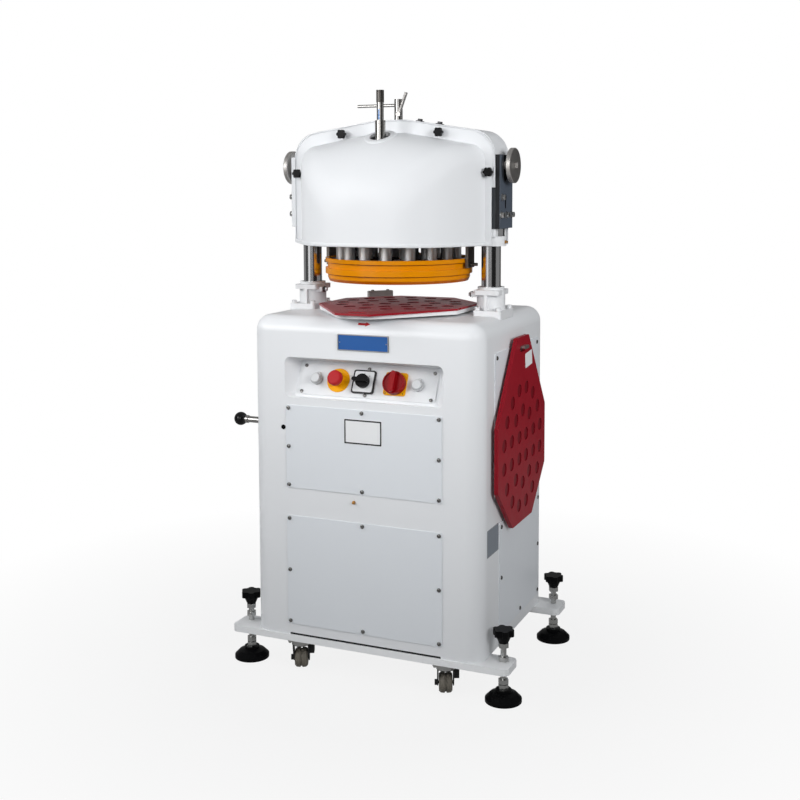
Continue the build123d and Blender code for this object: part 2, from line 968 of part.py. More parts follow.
def selector_knob():
    low = selector_plate_thickness + free_gap
    top = low + selector_hub_height
    knob = on_panel(selector_x, low, top, selector_hub_radius)
    grip = SlotOverall(selector_grip_length, selector_grip_width)
    knob += control_plane * (Pos(selector_x, 0, top) * extrude(grip, selector_grip_height))
    return knob + on_panel(selector_x, -stem_reach, low + weld, switch_shaft_radius)


def main_switch_knob():
    low = main_plate_thickness + free_gap
    top = low + main_disc_height
    knob = on_panel(main_switch_x, low, top, main_disc_radius)
    grip = SlotOverall(main_grip_length, main_grip_width)
    knob += control_plane * (Pos(main_switch_x, 0, top) * Rot(0, 0, 90) * extrude(grip, main_grip_height))
    return knob + on_panel(main_switch_x, -stem_reach, low + weld, switch_shaft_radius)


keep("control_panel", control_panel())
keep("control_bezels", *control_bezels())
keep("left_button", push_button(left_button_x))
keep("right_button", push_button(right_button_x))
keep("emergency_stop", stop_button())
keep("selector_knob", selector_knob())
keep("main_switch_knob", main_switch_knob())


# Column guides: castings that saddle the rounded edge of the deck, with bushes inside


def guide_housing(side):
    x = side * column_x
    base_x = side * (column_x + guide_base_offset)
    base_top = deck + guide_base_height
    flange_bottom = base_top + guide_body_height
    flange_top = flange_bottom + guide_flange_height
    base_outline = Pos(base_x, axis_y, deck - guide_skirt) * RectangleRounded(
        guide_base_width, guide_base_depth, guide_base_corner
    )
    housing = extrude(base_outline, guide_skirt + guide_base_height) - cabinet_form(0)
    outer = bush_outer + housing_wall
    housing += rod(x, axis_y, deck - guide_spigot_depth, flange_top, outer)
    for width, depth in ((guide_flange_width, guide_rib), (guide_rib, guide_flange_depth)):
        rib = Pos(x, axis_y, base_top) * extrude(Rectangle(width, depth), guide_body_height)
        housing += rib
    flange = Pos(x, axis_y, flange_bottom) * RectangleRounded(
        guide_flange_width, guide_flange_depth, guide_flange_corner
    )
    housing += extrude(flange, guide_flange_height)
    housing += rod(x, axis_y, flange_top, flange_top + guide_collar_height, outer - guide_collar_step)
    flange_inner = column_x - guide_flange_width / 2
    ear_mid_y = axis_y + ear_y
    housing += block(
        side * ear_inner_x,
        side * (flange_inner + guide_rib),
        ear_mid_y - ear_width / 2,
        ear_mid_y + ear_width / 2,
        flange_bottom - ear_height / 2,
        flange_bottom + ear_height / 2,
    )
    pin_tip = ear_inner_x - ear_pin_length
    housing += rod_x(side * pin_tip, side * (ear_inner_x + weld), ear_mid_y, flange_bottom, ear_pin_radius)
    return housing - rod(x, axis_y, deck - guide_spigot_depth, flange_top + guide_collar_height, bush_outer)


def guide_bush(side):
    low = deck - guide_spigot_depth
    high = guide_top + guide_collar_height
    return tube(side * column_x, axis_y, low, high, bush_outer - running_gap / 5, column_radius + running_gap)


keep("guide_housings", guide_housing(-1), guide_housing(1))
keep("guide_bushes", guide_bush(-1), guide_bush(1))


# Rounding table, moulding plates and the stop behind them


def tongued_octagon(tongue_reach, tongue_width, tip_corner, corner):
    """Octagon about the origin with a tongue towards -Y, rounded at its tip and at its other corners."""
    half = plate_flats / 2
    side = half * tan(radians(22.5))
    tip = tongue_width / 2
    outline = Polyline(
        (-tip, -tongue_reach),
        (tip, -tongue_reach),
        (half, -side),
        (half, side),
        (side, half),
        (-side, half),
        (-half, side),
        (-half, -side),
        close=True,
    )
    face = make_face(outline)
    face = fillet(face.vertices().group_by(Axis.Y)[0], tip_corner)
    return fillet(face.vertices().filter_by_position(Axis.Y, -half, half), corner)


def moulding_plate():
    """Moulding plate about its own centre, with its pockets upwards."""
    outline = tongued_octagon(plate_tongue_reach, plate_tongue_width, plate_corner, plate_corner)
    plate = extrude(outline, plate_thickness)
    slot = Pos(0, plate_slot_inset - plate_tongue_reach) * SlotOverall(plate_slot_length, plate_slot_width)
    plate -= extrude(slot, plate_thickness)
    pocket = Pos(0, 0, plate_thickness - pocket_depth / 2) * Cylinder(pocket_radius, pocket_depth)
    pockets = []
    for count, radius in zip(stamp_counts, stamp_radii):
        for spot in PolarLocations(radius, count, start_angle=180 / count):
            pockets.append(spot * pocket)
    return plate - pockets


def table_plate():
    outline = tongued_octagon(table_tongue_reach, table_tongue_width, table_tip_corner, table_corner)
    return Pos(0, axis_y, table_bottom) * extrude(outline, table_thickness)


def plate_stop():
    """Low steel bar on the deck, set along the rear left side of the octagon."""
    bar = Pos(-stop_block_shift, stop_block_distance, deck + stop_block_height / 2) * Box(
        stop_block_length, stop_block_width, stop_block_height
    )
    bar = chamfer(bar.edges().group_by(Axis.Z)[-1], stop_block_chamfer)
    turned = Rot(0, 0, 45) * mirror(bar, about=Plane.YZ)
    return Pos(0, axis_y) * turned


plate_form = moulding_plate()
spare_inner_x = cabinet_side + cover_thickness + spare_standoff
spare_outer_x = spare_inner_x + plate_thickness + free_gap


def hung(x):
    """Moulding plate hung with its tongue up and its pockets outwards."""
    centre = (x, spare_centre_y, spare_centre_z)
    return Plane(origin=centre, x_dir=(0, -1, 0), z_dir=(1, 0, 0)) * plate_form


def plate_hanger():
    slot_top = spare_centre_z + plate_tongue_reach - plate_slot_inset + plate_slot_width / 2
    top = slot_top - free_gap
    wall_x = cabinet_side + cover_thickness
    base_centre = (wall_x, spare_centre_y, top - hanger_thickness / 2)
    base_plane = Plane(origin=base_centre, x_dir=(0, 1, 0), z_dir=(1, 0, 0))
    hanger_outline = RectangleRounded(hanger_base_width, hanger_base_height, hanger_base_corner)
    hanger = extrude(base_plane * hanger_outline, hanger_base_thickness)
    tongue = base_plane * RectangleRounded(hanger_width, hanger_thickness, hanger_corner)
    return hanger + extrude(tongue, hanger_reach)


keep("table_plate", table_plate())
keep("moulding_plate", Pos(0, axis_y, table_top) * plate_form)
keep("spare_plate_inner", hung(spare_inner_x))
keep("spare_plate_outer", hung(spare_outer_x))
keep("plate_hanger", plate_hanger())
keep("plate_stop", plate_stop())


# Orbital drive: frame plate with its bearing tube, eccentric shaft, guide crank, motor and belt


def drive_frame():
    inside = cabinet_side - wall
    frame = block(-inside, inside, frame_front, frame_rear, frame_level, frame_top)
    tube_outer = bearing_radius + bearing_tube_wall
    frame += rod(0, shaft_y, frame_level - bearing_height, bearing_tube_top, tube_outer)
    frame += rod(0, guide_crank_y, frame_level, bearing_tube_top, guide_post_radius)
    tab_half = lever_hub_radius + weld
    frame += block(
        lever_pivot_x - tab_half,
        lever_pivot_x + tab_half,
        lever_y - lever_hub_length / 2 - lever_cheek - free_gap,
        frame_front + weld,
        frame_level,
        frame_top,
    )
    for side in (-1, 1):
        near = lever_y + side * (lever_hub_length / 2 + free_gap)
        far = near + side * lever_cheek
        frame += block(
            lever_pivot_x - lever_hub_radius + weld,
            lever_pivot_x + lever_hub_radius - weld,
            near,
            far,
            frame_top - weld,
            lever_z + lever_hub_radius,
        )
    pin_half = lever_hub_length / 2 + free_gap + lever_cheek
    pin = rod_y(lever_pivot_x, lever_y - pin_half, lever_y + pin_half, lever_z, lever_pin_radius)
    frame += pin
    frame -= rod(0, shaft_y, frame_level - bearing_height, bearing_tube_top, bearing_radius)
    journal_bottom = bearing_tube_top - guide_journal_length
    frame -= rod(0, guide_crank_y, journal_bottom, bearing_tube_top, guide_journal_radius + running_gap)
    frame -= rod(motor_x, motor_y, frame_level, frame_top, motor_shaft_radius + frame_hole_gap)
    for side in (-1, 1):
        frame -= rod(side * column_x, axis_y, frame_level, frame_top, column_radius + frame_hole_gap)
    pieces = [frame]
    for low in (frame_level - bearing_height, bearing_tube_top - bearing_height):
        outer = bearing_radius - running_gap
        pieces.append(tube(0, shaft_y, low, low + bearing_height, outer, shaft_radius + running_gap))
    return pieces


def grooved_pulley(radius, bore):
    """Pulley about the origin with one belt groove."""
    half = pulley_height / 2
    groove = belt_width / 2 + free_gap
    outline = Polyline(
        (bore, -half),
        (radius, -half),
        (radius, -groove),
        (radius - belt_depth, -groove),
        (radius - belt_depth, groove),
        (radius, groove),
        (radius, half),
        (bore, half),
        close=True,
    )
    return revolve(Plane.XZ * make_face(outline), Axis.Z)


pulley_mid = pulley_bottom + pulley_height / 2


def eccentric_shaft():
    shaft = rod(0, shaft_y, shaft_bottom, crank_disc_bottom, shaft_radius)
    shaft += rod(0, shaft_y, crank_disc_bottom, crank_disc_top, crank_disc_radius)
    shaft += rod(0, axis_y, crank_disc_top, crank_disc_top + crank_pin_height, crank_pin_radius)
    pulley = Pos(0, shaft_y, pulley_mid) * grooved_pulley(drive_pulley_radius, shaft_radius + running_gap)
    return shaft, pulley


def table_hub():
    hub = rod(0, axis_y, hub_bottom, table_bottom, hub_radius)
    hub += rod(0, axis_y, deck + table_gap / 4, table_bottom, hub_flange_radius)
    pin_y = guide_crank_y - orbit_radius
    half = hub_arm_width / 2
    hub += block(-half, half, axis_y, pin_y, hub_bottom, hub_bottom + hub_arm_height)
    hub += rod(0, pin_y, hub_bottom, hub_bottom + hub_arm_height, half)
    bore_top = crank_disc_top + crank_pin_height + free_gap
    hub -= rod(0, axis_y, hub_bottom, bore_top, crank_pin_radius + running_gap)
    guide_bore_top = hub_bottom + hub_arm_height
    return hub - rod(0, pin_y, hub_bottom, guide_bore_top, guide_pin_radius + running_gap)


def guide_crank():
    journal_bottom = bearing_tube_top - guide_journal_length + free_gap
    crank = rod(0, guide_crank_y, journal_bottom, crank_disc_bottom, guide_journal_radius)
    crank += rod(0, guide_crank_y, crank_disc_bottom, crank_disc_top, guide_disc_radius)
    pin_y = guide_crank_y - orbit_radius
    return crank + rod(0, pin_y, crank_disc_top, crank_disc_top + guide_pin_height, guide_pin_radius)


def motor():
    body = rod(motor_x, motor_y, frame_top, frame_top + motor_height, motor_radius)
    body += rod(motor_x, motor_y, frame_top, frame_top + motor_flange_thickness, motor_flange_radius)
    body += block(
        motor_x - motor_box_width / 2,
        motor_x + motor_box_width / 2,
        motor_y,
        motor_y + motor_box_reach,
        frame_top + motor_box_lift,
        frame_top + motor_box_lift + motor_box_height,
    )
    socket_top = frame_top + motor_shaft_socket
    return body - rod(motor_x, motor_y, frame_top, socket_top, motor_shaft_radius + running_gap)


def motor_pulley():
    shaft_top = frame_top + motor_shaft_socket - free_gap
    shaft = rod(motor_x, motor_y, pulley_bottom, shaft_top, motor_shaft_radius)
    pulley = grooved_pulley(motor_pulley_radius, motor_shaft_radius - weld)
    return shaft + Pos(motor_x, motor_y, pulley_mid) * pulley


def belt_loop(inset):
    """Outline of the belt round both pulleys, at a depth below their rims."""
    large = Pos(0, shaft_y) * Circle(drive_pulley_radius - inset)
    small = Pos(motor_x, motor_y) * Circle(motor_pulley_radius - inset)
    return make_hull(large.edges() + small.edges())


belt = extrude(belt_loop(belt_proud) - belt_loop(belt_depth - free_gap), belt_width)
keep("drive_frame", *drive_frame())
keep("eccentric_shaft", *eccentric_shaft())
keep("table_hub", table_hub())
keep("guide_crank", guide_crank())
keep("motor", motor())
keep("motor_pulley", motor_pulley())
keep("drive_belt", Pos(0, 0, pulley_mid - belt_width / 2) * belt)


# Adjusting lever in the slot of the left side


def adjust_lever():
    hub_half = lever_hub_length / 2
    lever = rod_y(lever_pivot_x, lever_y - hub_half, lever_y + hub_half, lever_z, lever_hub_radius)
    lever += rod_x(lever_knob_x, lever_pivot_x, lever_y, lever_z, lever_rod_radius)
    lever += Pos(lever_knob_x, lever_y, lever_z) * Sphere(lever_knob_radius)
    collar_x = lever_knob_x + lever_knob_radius
    collar_start = collar_x - lever_collar_length / 3
    collar_radius = lever_rod_radius + lever_collar_step
    lever += rod_x(collar_start, collar_start + lever_collar_length, lever_y, lever_z, collar_radius)
    bore = lever_pin_radius + running_gap
    return lever - rod_y(lever_pivot_x, lever_y - hub_half, lever_y + hub_half, lever_z, bore)


keep("adjust_lever", adjust_lever())


# Lift: columns on a yoke, with a cylinder below


def column(side):
    x = side * column_x
    body = rod(x, axis_y, yoke_top, boss_top, column_radius)
    return body + rod(x, axis_y, boss_top, boss_top + column_nut_height, column_nut_radius)


keep("columns", column(-1), column(1))
yoke = block(
    -yoke_length / 2, yoke_length / 2, axis_y - yoke_depth / 2, axis_y + yoke_depth / 2, yoke_bottom, yoke_top
)
yoke = fillet(yoke.edges().filter_by(Axis.Z), yoke_corner)
keep("lift_yoke", yoke, rod(0, axis_y, floor_top + lift_rod_lift, yoke_bottom, lift_rod_radius))
barrel_top = yoke_bottom - lift_barrel_gap
barrel = rod(0, axis_y, floor_top, barrel_top, lift_barrel_radius)
barrel -= rod(0, axis_y, floor_top + lift_barrel_base, barrel_top, lift_rod_radius + running_gap)
keep("lift_cylinder", barrel)


# Dough ring: a revolved section with its flange, neck and band, and slots for the bracket pins


def dough_ring():
    band_top = ring_top - ring_flange_height - ring_neck_height
    band_bottom = band_top - ring_band_height
    outline = Polyline(
        (ring_inner_radius, ring_bottom),
        (ring_inner_radius, ring_top),
        (ring_band_radius, ring_top),
        (ring_band_radius, ring_top - ring_flange_height),
        (ring_neck_radius, ring_top - ring_flange_height),
        (ring_neck_radius, band_top),
        (ring_band_radius, band_top),
        (ring_band_radius, band_bottom),
        (ring_neck_radius, band_bottom),
        (ring_neck_radius, ring_bottom + ring_toe_height),
        (ring_neck_radius - ring_toe_run, ring_bottom),
        close=True,
    )
    ring = Pos(0, axis_y) * revolve(Plane.XZ * make_face(outline), Axis.Z)
    slot_half = ring_pin_radius + free_gap
    slot_low = ring_pin_z - slot_half - ring_float
    for side in (-1, 1):
        near = side * (ring_inner_radius - ring_wall)
        far = side * (ring_neck_radius + free_gap)
        ring -= block(near, far, axis_y - slot_half, axis_y + slot_half, slot_low, ring_pin_z + slot_half)
    return ring


keep("dough_ring", dough_ring())


# Stamps and knife: sectors in three rings, with thin blades between them

zone_edges = (0, inner_radius, middle_radius, outer_radius)
blade_room = knife_thickness + 2 * knife_gap


def radial_bars(count, near, far, width):
    """Bars from one radius to another, evenly turned about the origin."""
    length = far - near
    bar = Pos((near + far) / 2, 0) * Rectangle(length, width)
    return [Rot(0, 0, 360 * index / count) * bar for index in range(count)]


def stamp_zone(index):
    """Outline of one ring of stamps with room for the blades between them."""
    near, far = zone_edges[index], zone_edges[index + 1]
    rim = far if index == 2 else far - blade_room / 2
    zone = Circle(rim)
    if near:
        zone -= Circle(near + blade_room / 2)
    for bar in radial_bars(stamp_counts[index], 0, far + blade_room, blade_room):
        zone -= bar
    return zone


def stamps():
    low = ring_bottom + stamp_lift
    pieces = []
    for index, count in enumerate(stamp_counts):
        heads = extrude(Pos(0, axis_y, low) * stamp_zone(index), stamp_height)
        for spot in range(count):
            x, y = polar(stamp_radii[index], 360 * (spot + 0.5) / count)
            stem = rod(x, y, low + stamp_height - weld, presser_bottom, stem_radius)
            head = heads.solids().sort_by_distance((x, y, low))[0]
            pieces.append(head + stem)
    return pieces


def presser_plate():
    plate = rod(0, axis_y, presser_bottom, presser_top, presser_plate_radius)
    for turn in knife_post_turns:
        x, y = polar(middle_radius, turn)
        plate -= rod(x, y, presser_bottom, presser_top, knife_post_radius + knife_post_gap)
    return plate


def presser_guide(side):
    """Pin on the presser plate that slides in the bridge of the beam."""
    pin_top = presser_top + presser_guide_length
    return rod(side * presser_guide_x, axis_y + presser_guide_y, presser_top, pin_top, presser_guide_radius)


knife_post_turns = [360 * (spot + 0.5) / inner_count for spot in range(inner_count)]
post_bottom = ring_bottom + stamp_lift + stamp_height + carrier_gap + knife_gap


def knife_cage():
    """Blades between the stamps, with tabs that rise between them to the posts."""
    low = ring_bottom + knife_lift
    half = knife_thickness / 2
    edges = Sketch()
    for radius in (inner_radius, middle_radius):
        edges += Circle(radius + half) - Circle(radius - half)
    for index, count in enumerate(stamp_counts):
        near = zone_edges[index]
        far = zone_edges[index + 1] - (knife_gap if index == 2 else 0)
        for bar in radial_bars(count, near, far, knife_thickness):
            edges += bar
    cage = extrude(Pos(0, axis_y, low) * edges, knife_height)
    band = Circle(middle_radius + half) - Circle(middle_radius - half)
    tab_low = low + knife_height - weld
    for turn in knife_post_turns:
        strip = Rot(0, 0, turn) * Pos(middle_radius, 0) * Rectangle(knife_tab_width, knife_tab_width)
        cage += extrude(Pos(0, axis_y, tab_low) * (band & strip), post_bottom - tab_low)
    return cage


def knife_carrier():
    """Crossed arms over the presser plate, with the rod that the bridge guides."""
    arm_length = 2 * (middle_radius + 2 * knife_post_radius)
    carrier = rod(0, axis_y, carrier_bottom, carrier_top + knife_rod_length, knife_rod_radius)
    for turn in knife_post_turns[:2]:
        arm = Rot(0, 0, turn) * SlotOverall(arm_length, knife_arm_width)
        carrier += extrude(Pos(0, axis_y, carrier_bottom) * arm, knife_arm_thickness)
    return carrier


def knife_post(turn):
    """Round post from a tab of the blades up to the carrier."""
    x, y = polar(middle_radius, turn)
    return rod(x, y, post_bottom, carrier_bottom, knife_post_radius)


def scale_rod():
    y = axis_y + scale_rod_y
    body = rod(0, y, presser_top, scale_rod_top, scale_rod_radius)
    return body + rod(0, y, scale_rod_top, scale_rod_top + scale_grip_length, scale_grip_radius)


keep("stamps", *stamps())
keep("presser_plate", presser_plate(), presser_guide(-1), presser_guide(1))
keep("knife_cage", knife_cage(), knife_carrier(), *[knife_post(turn) for turn in knife_post_turns])
keep("scale_rod", scale_rod())


# Head beam: bosses on the columns, cheeks, bridge, shaft lugs, spindle arch and scale sleeve


def head_beam():
    front, rear = axis_y - beam_depth / 2, axis_y + beam_depth / 2
    boss_bottom = hood_bottom - beam_boss_drop
    beam = block(-beam_half_length, beam_half_length, front, rear, bridge_bottom, bridge_top)
    for side in (-1, 1):
        outline = Pos(side * column_x, axis_y, boss_bottom) * Rectangle(beam_boss_width, beam_boss_width)
        boss = extrude(outline, beam_boss_height)
        outer = boss.edges().filter_by(Axis.Z).sort_by(Axis.X)
        boss = fillet(outer[-2:] if side > 0 else outer[:2], beam_boss_corner)
        beam += boss
        beam += block(
            side * (beam_half_length - beam_cheek),
            side * beam_half_length,
            front,
            rear,
            boss_top - weld,
            bridge_bottom + weld,
        )
        lug_half = shaft_lug_width / 2
        beam += block(
            side * shaft_lug_x - lug_half,
            side * shaft_lug_x + lug_half,
            axis_y - shaft_lug_depth / 2,
            axis_y + shaft_lug_depth / 2,
            bridge_top - weld,
            cross_shaft_z + shaft_lug_crown,
        )
        post_y = axis_y + side * (arch_span - arch_post) / 2
        beam += block(
            -arch_width / 2,
            arch_width / 2,
            post_y - arch_post / 2,
            post_y + arch_post / 2,
            bridge_top - weld,
            arch_top,
        )
    beam += block(
        -arch_width / 2,
        arch_width / 2,
        axis_y - arch_span / 2,
        axis_y + arch_span / 2,
        arch_top - arch_cap,
        arch_top,
    )
    sleeve_outer = scale_rod_radius + running_gap + sleeve_wall
    sleeve_y = axis_y + scale_rod_y
    beam += block(-sleeve_outer, sleeve_outer, sleeve_y, front + weld, bridge_bottom, bridge_top)
    beam += rod(0, sleeve_y, bridge_bottom, sleeve_top, sleeve_outer)
    beam -= rod(0, sleeve_y, bridge_bottom, sleeve_top, scale_rod_radius + running_gap)
    beam -= rod(0, axis_y, bridge_bottom, bridge_top, knife_rod_radius + running_gap)
    beam -= rod(0, axis_y, arch_top - arch_cap, arch_top, spindle_tube_radius + running_gap)
    shaft_bore = cross_shaft_radius + running_gap
    beam -= rod_x(-beam_half_length, beam_half_length, axis_y, cross_shaft_z, shaft_bore)
    guide_bore = presser_guide_radius + running_gap
    for side in (-1, 1):
        beam -= rod(side * column_x, axis_y, boss_bottom, boss_top, column_radius + running_gap)
        nut_room = boss_top + column_nut_height + free_gap
        beam -= rod(side * column_x, axis_y, boss_top, nut_room, column_nut_radius + free_gap)
        guide_y = axis_y + presser_guide_y
        beam -= rod(side * presser_guide_x, guide_y, bridge_bottom, bridge_top, guide_bore)
    return beam


def side_plate(side):
    near, far = side * beam_half_length, side * (beam_half_length + side_plate_thickness)
    front, rear = axis_y + side_plate_front, axis_y + side_plate_rear
    plate = block(near, far, front, rear, side_plate_bottom, side_plate_top)
    notch_bottom = side_plate_top - side_notch_depth
    half = side_notch_width / 2
    plate -= block(near, far, axis_y - half, axis_y + half, notch_bottom, side_plate_top)
    plate -= rod_x(near, far, axis_y, notch_bottom, half)
    slot_centre = Plane(
        origin=(near, axis_y, (side_slot_bottom + side_slot_top) / 2), x_dir=(0, 0, 1), z_dir=(side, 0, 0)
    )
    slot = SlotOverall(side_slot_top - side_slot_bottom, side_slot_width)
    return plate - extrude(slot_centre * slot, side_plate_thickness)


def cross_shaft():
    inner_face = beam_half_length + side_plate_thickness + free_gap
    disc_face = inner_face + disc_hub_length
    end = disc_face + disc_thickness
    shaft = rod_x(-end, end, axis_y, cross_shaft_z, cross_shaft_radius)
    for side in (-1, 1):
        shaft += rod_x(side * inner_face, side * disc_face, axis_y, cross_shaft_z, disc_hub_radius)
        disc = rod_x(side * disc_face, side * end, axis_y, cross_shaft_z, disc_radius)
        shaft += chamfer(disc.edges().filter_by(GeomType.CIRCLE), disc_chamfer)
        half = square_size / 2
        shaft += block(
            side * end,
            side * (end + square_length),
            axis_y - half,
            axis_y + half,
            cross_shaft_z - half,
            cross_shaft_z + half,
        )
        hole_x = side * (disc_face + disc_thickness / 2)
        hole_low = cross_shaft_z - disc_radius
        hole = rod(hole_x, axis_y, hole_low, hole_low + disc_hole_depth, disc_hole_radius)
        turn = Pos(0, axis_y, cross_shaft_z) * Rot(disc_hole_turn, 0, 0) * Pos(0, -axis_y, -cross_shaft_z)
        shaft -= turn * hole
    return shaft


def ring_bracket(side):
    inner = ring_band_radius + ring_bracket_gap
    outer = inner + ring_leg_thickness
    front, rear = axis_y - ring_bracket_width / 2, axis_y + ring_bracket_width / 2
    foot_bottom = boss_top - ring_foot_height
    low = ring_pin_z - 2 * ring_pin_radius
    leg = block(side * inner, side * outer, front, rear, low, boss_top)
    leg += block(side * inner, side * beam_boss_inner, front, rear, foot_bottom, boss_top)
    pin_start = ring_inner_radius + ring_play
    return leg + rod_x(side * pin_start, side * ring_pin_end, axis_y, ring_pin_z, ring_pin_radius)


keep("head_beam", head_beam())
keep("left_side_plate", side_plate(-1))
keep("right_side_plate", side_plate(1))
keep("cross_shaft", cross_shaft())
keep("ring_brackets", ring_bracket(-1), ring_bracket(1))


# Hoods: lofted bulges in front and behind a rounded gable section


def section_plane(y):
    """Upright plane across the head, drawn in X and Z."""
    return Plane(origin=(0, axis_y + y, 0), x_dir=(1, 0, 0), z_dir=(0, -1, 0))


def gable(y, half_width, shoulder, peak_half, peak, low, round_shoulder, round_peak):
    """Closed gable outline: upright sides, round shoulders, sloped roof and a flat peak."""
    outline = Polyline(
        (-half_width, low),
        (half_width, low),
        (half_width, shoulder),
        (peak_half, peak),
        (-peak_half, peak),
        (-half_width, shoulder),
        close=True,
    )
    face = make_face(outline)
    corners = face.vertices().sort_by(Axis.Y)
    face = fillet(corners[2:4], round_shoulder)
    face = fillet(face.vertices().sort_by(Axis.Y)[-2:], round_peak)
    return section_plane(y) * face


def hood_gable(y, inset, shoulder_radius):
    return gable(
        y,
        hood_half_width - inset,
        hood_shoulder_z - inset,
        hood_peak_half,
        hood_top - inset,
        hood_bottom,
        shoulder_radius - inset,
        hood_peak_radius,
    )


def bulge(facing, base_y, reach, wall_top, inset):
    """Rounded bulge of a hood: gables that narrow and fall from the flange to a small upright end.

    Facing is -1 to the front and 1 to the rear.
    """
    root_half = hood_half_width - flange_band - inset
    end_half = bulge_end_half_width - inset
    root_peak = hood_top - flange_top_band - inset
    end_peak = wall_top - inset
    root_drop = hood_top - hood_shoulder_z
    root_round = hood_shoulder_radius - flange_band
    faces = []
    for along in bulge_stations:
        plan = (1 - along**bulge_plan_power) ** bulge_plan_root
        fall = (1 - along**bulge_roof_power) ** (1 / bulge_roof_power)
        half = end_half + (root_half - end_half) * plan
        peak = end_peak + (root_peak - end_peak) * fall
        share = half / root_half
        faces.append(
            gable(
                base_y + facing * (reach - inset) * along,
                half,
                peak - root_drop * share,
                hood_peak_half * share,
                peak,
                hood_bottom - (hood_wall if inset else 0),
                root_round * (share + along) * bulge_round_share,
                hood_peak_radius,
            )
        )
    return loft(faces)


def boss_plane():
    """Plane of the raised boss round the scale rod, tilted with the roof."""
    tilt = radians(boss_tilt)
    return Plane(
        origin=(0, axis_y + scale_rod_y, boss_z), x_dir=(1, 0, 0), z_dir=(0, -sin(tilt), cos(tilt))
    )


def open_mouth(inner, base_y, depth):
    """Prism that carries the inside of a bulge through the flange behind it."""
    level = axis_y + base_y
    mouth = inner.faces().filter_by_position(Axis.Y, level - free_gap, level + free_gap)
    return extrude(mouth, depth)


def front_hood():
    flange_back = flange_front + flange_thickness
    flange = extrude(hood_gable(flange_back, 0, hood_shoulder_radius), flange_thickness)
    outer = bulge(-1, flange_front, front_reach, front_wall_top, 0)
    inner = bulge(-1, flange_front, front_reach, front_wall_top, hood_wall)
    boss = extrude(boss_plane().offset(-3 * boss_height) * Circle(boss_radius), 4 * boss_height)
    boss = fillet(boss.edges().filter_by(GeomType.CIRCLE).sort_by(Axis.Z)[-1:], boss_round)
    hood = flange + outer + (boss - inner)
    hood -= inner
    hood -= open_mouth(inner, flange_front, flange_thickness)
    hood -= extrude(boss_plane().offset(-4 * boss_height) * Circle(boss_hole_radius), 8 * boss_height)
    return hood - block(
        hood_half_width - flange_notch,
        hood_half_width + flange_notch,
        axis_y + flange_front - flange_thickness,
        axis_y + flange_back + flange_thickness,
        hood_bottom - flange_notch,
        flange_notch_top,
    )


def rear_hood():
    start = flange_front + flange_thickness
    back = rear_flange + hood_wall
    shell = extrude(hood_gable(back, 0, rear_shoulder_radius), back - start)
    shell -= extrude(hood_gable(rear_flange, hood_wall, rear_shoulder_radius), rear_flange - start)
    outer = bulge(1, back, rear_reach, rear_wall_top, 0)
    inner = bulge(1, back, rear_reach, rear_wall_top, hood_wall)
    shell += outer
    shell -= inner
    shell -= open_mouth(inner, back, hood_wall)
    for side in (-1, 1):
        shell -= block(
            side * (hood_half_width - 3 * hood_wall),
            side * (hood_half_width + hood_wall),
            axis_y + side_plate_front - hood_wall,
            axis_y + side_plate_rear,
            hood_bottom - hood_wall,
            side_plate_top,
        )
    hole = spindle_tube_radius + roof_hole_gap
    return shell - rod(0, axis_y, arch_top, hood_top + hood_wall, hole)


def hood_knob(x, z):
    """Star knob on the front of the hood's flange."""
    face = Plane(origin=(x, axis_y + flange_front, z), x_dir=(1, 0, 0), z_dir=(0, -1, 0))
    neck = extrude(face * Circle(hood_knob_neck_radius), hood_knob_neck)
    head = face.offset(hood_knob_neck) * star(hood_knob_radius, hood_knob_head)
    return neck + head


keep("front_hood", front_hood())
keep("rear_hood", rear_hood())
keep(
    "hood_knobs",
    *[
        hood_knob(side * x, z)
        for side in (-1, 1)
        for x, z in ((hood_knob_upper_x, hood_knob_upper_z), (hood_knob_lower_x, hood_knob_lower_z))
    ],
)


# Weight spindle with its tommy bar, and the clamp lever on its front


def weight_spindle():
    tube_low = arch_top - spindle_seat_drop
    spindle = rod(0, axis_y, tube_low, spindle_tube_top, spindle_tube_radius)
    seat = arch_top + free_gap
    spindle += rod(0, axis_y, seat, seat + spindle_collar_height, spindle_collar_radius)
    return spindle + rod_x(-tommy_reach, 0, axis_y, tommy_z, tommy_radius)


def clamp_lever():
    root_y = axis_y + clamp_y
    lever = Pos(clamp_x, root_y, clamp_z) * Rot(0, clamp_lean, 0) * rod(0, 0, 0, clamp_length, clamp_radius)
    boss_end = axis_y - spindle_tube_radius - free_gap
    return lever + rod_y(clamp_x, root_y - clamp_boss_radius, boss_end, clamp_z, clamp_boss_radius)


keep("weight_spindle", weight_spindle())
keep("clamp_lever", clamp_lever())


os.makedirs("parts", exist_ok=True)
for name, shape in nodes.items():
    export_step(shape, "parts/" + name + ".step")
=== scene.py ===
"""Looks of a floor-standing dough divider and rounder, dressed over its CAD frame, in metres."""

import json
import logging
from dataclasses import dataclass
from enum import Enum
from math import asin, cos, pi, radians, sin, tan
from typing import ClassVar, Optional, Sequence, Union

import bmesh
import bpy
from mathutils import Matrix, Vector


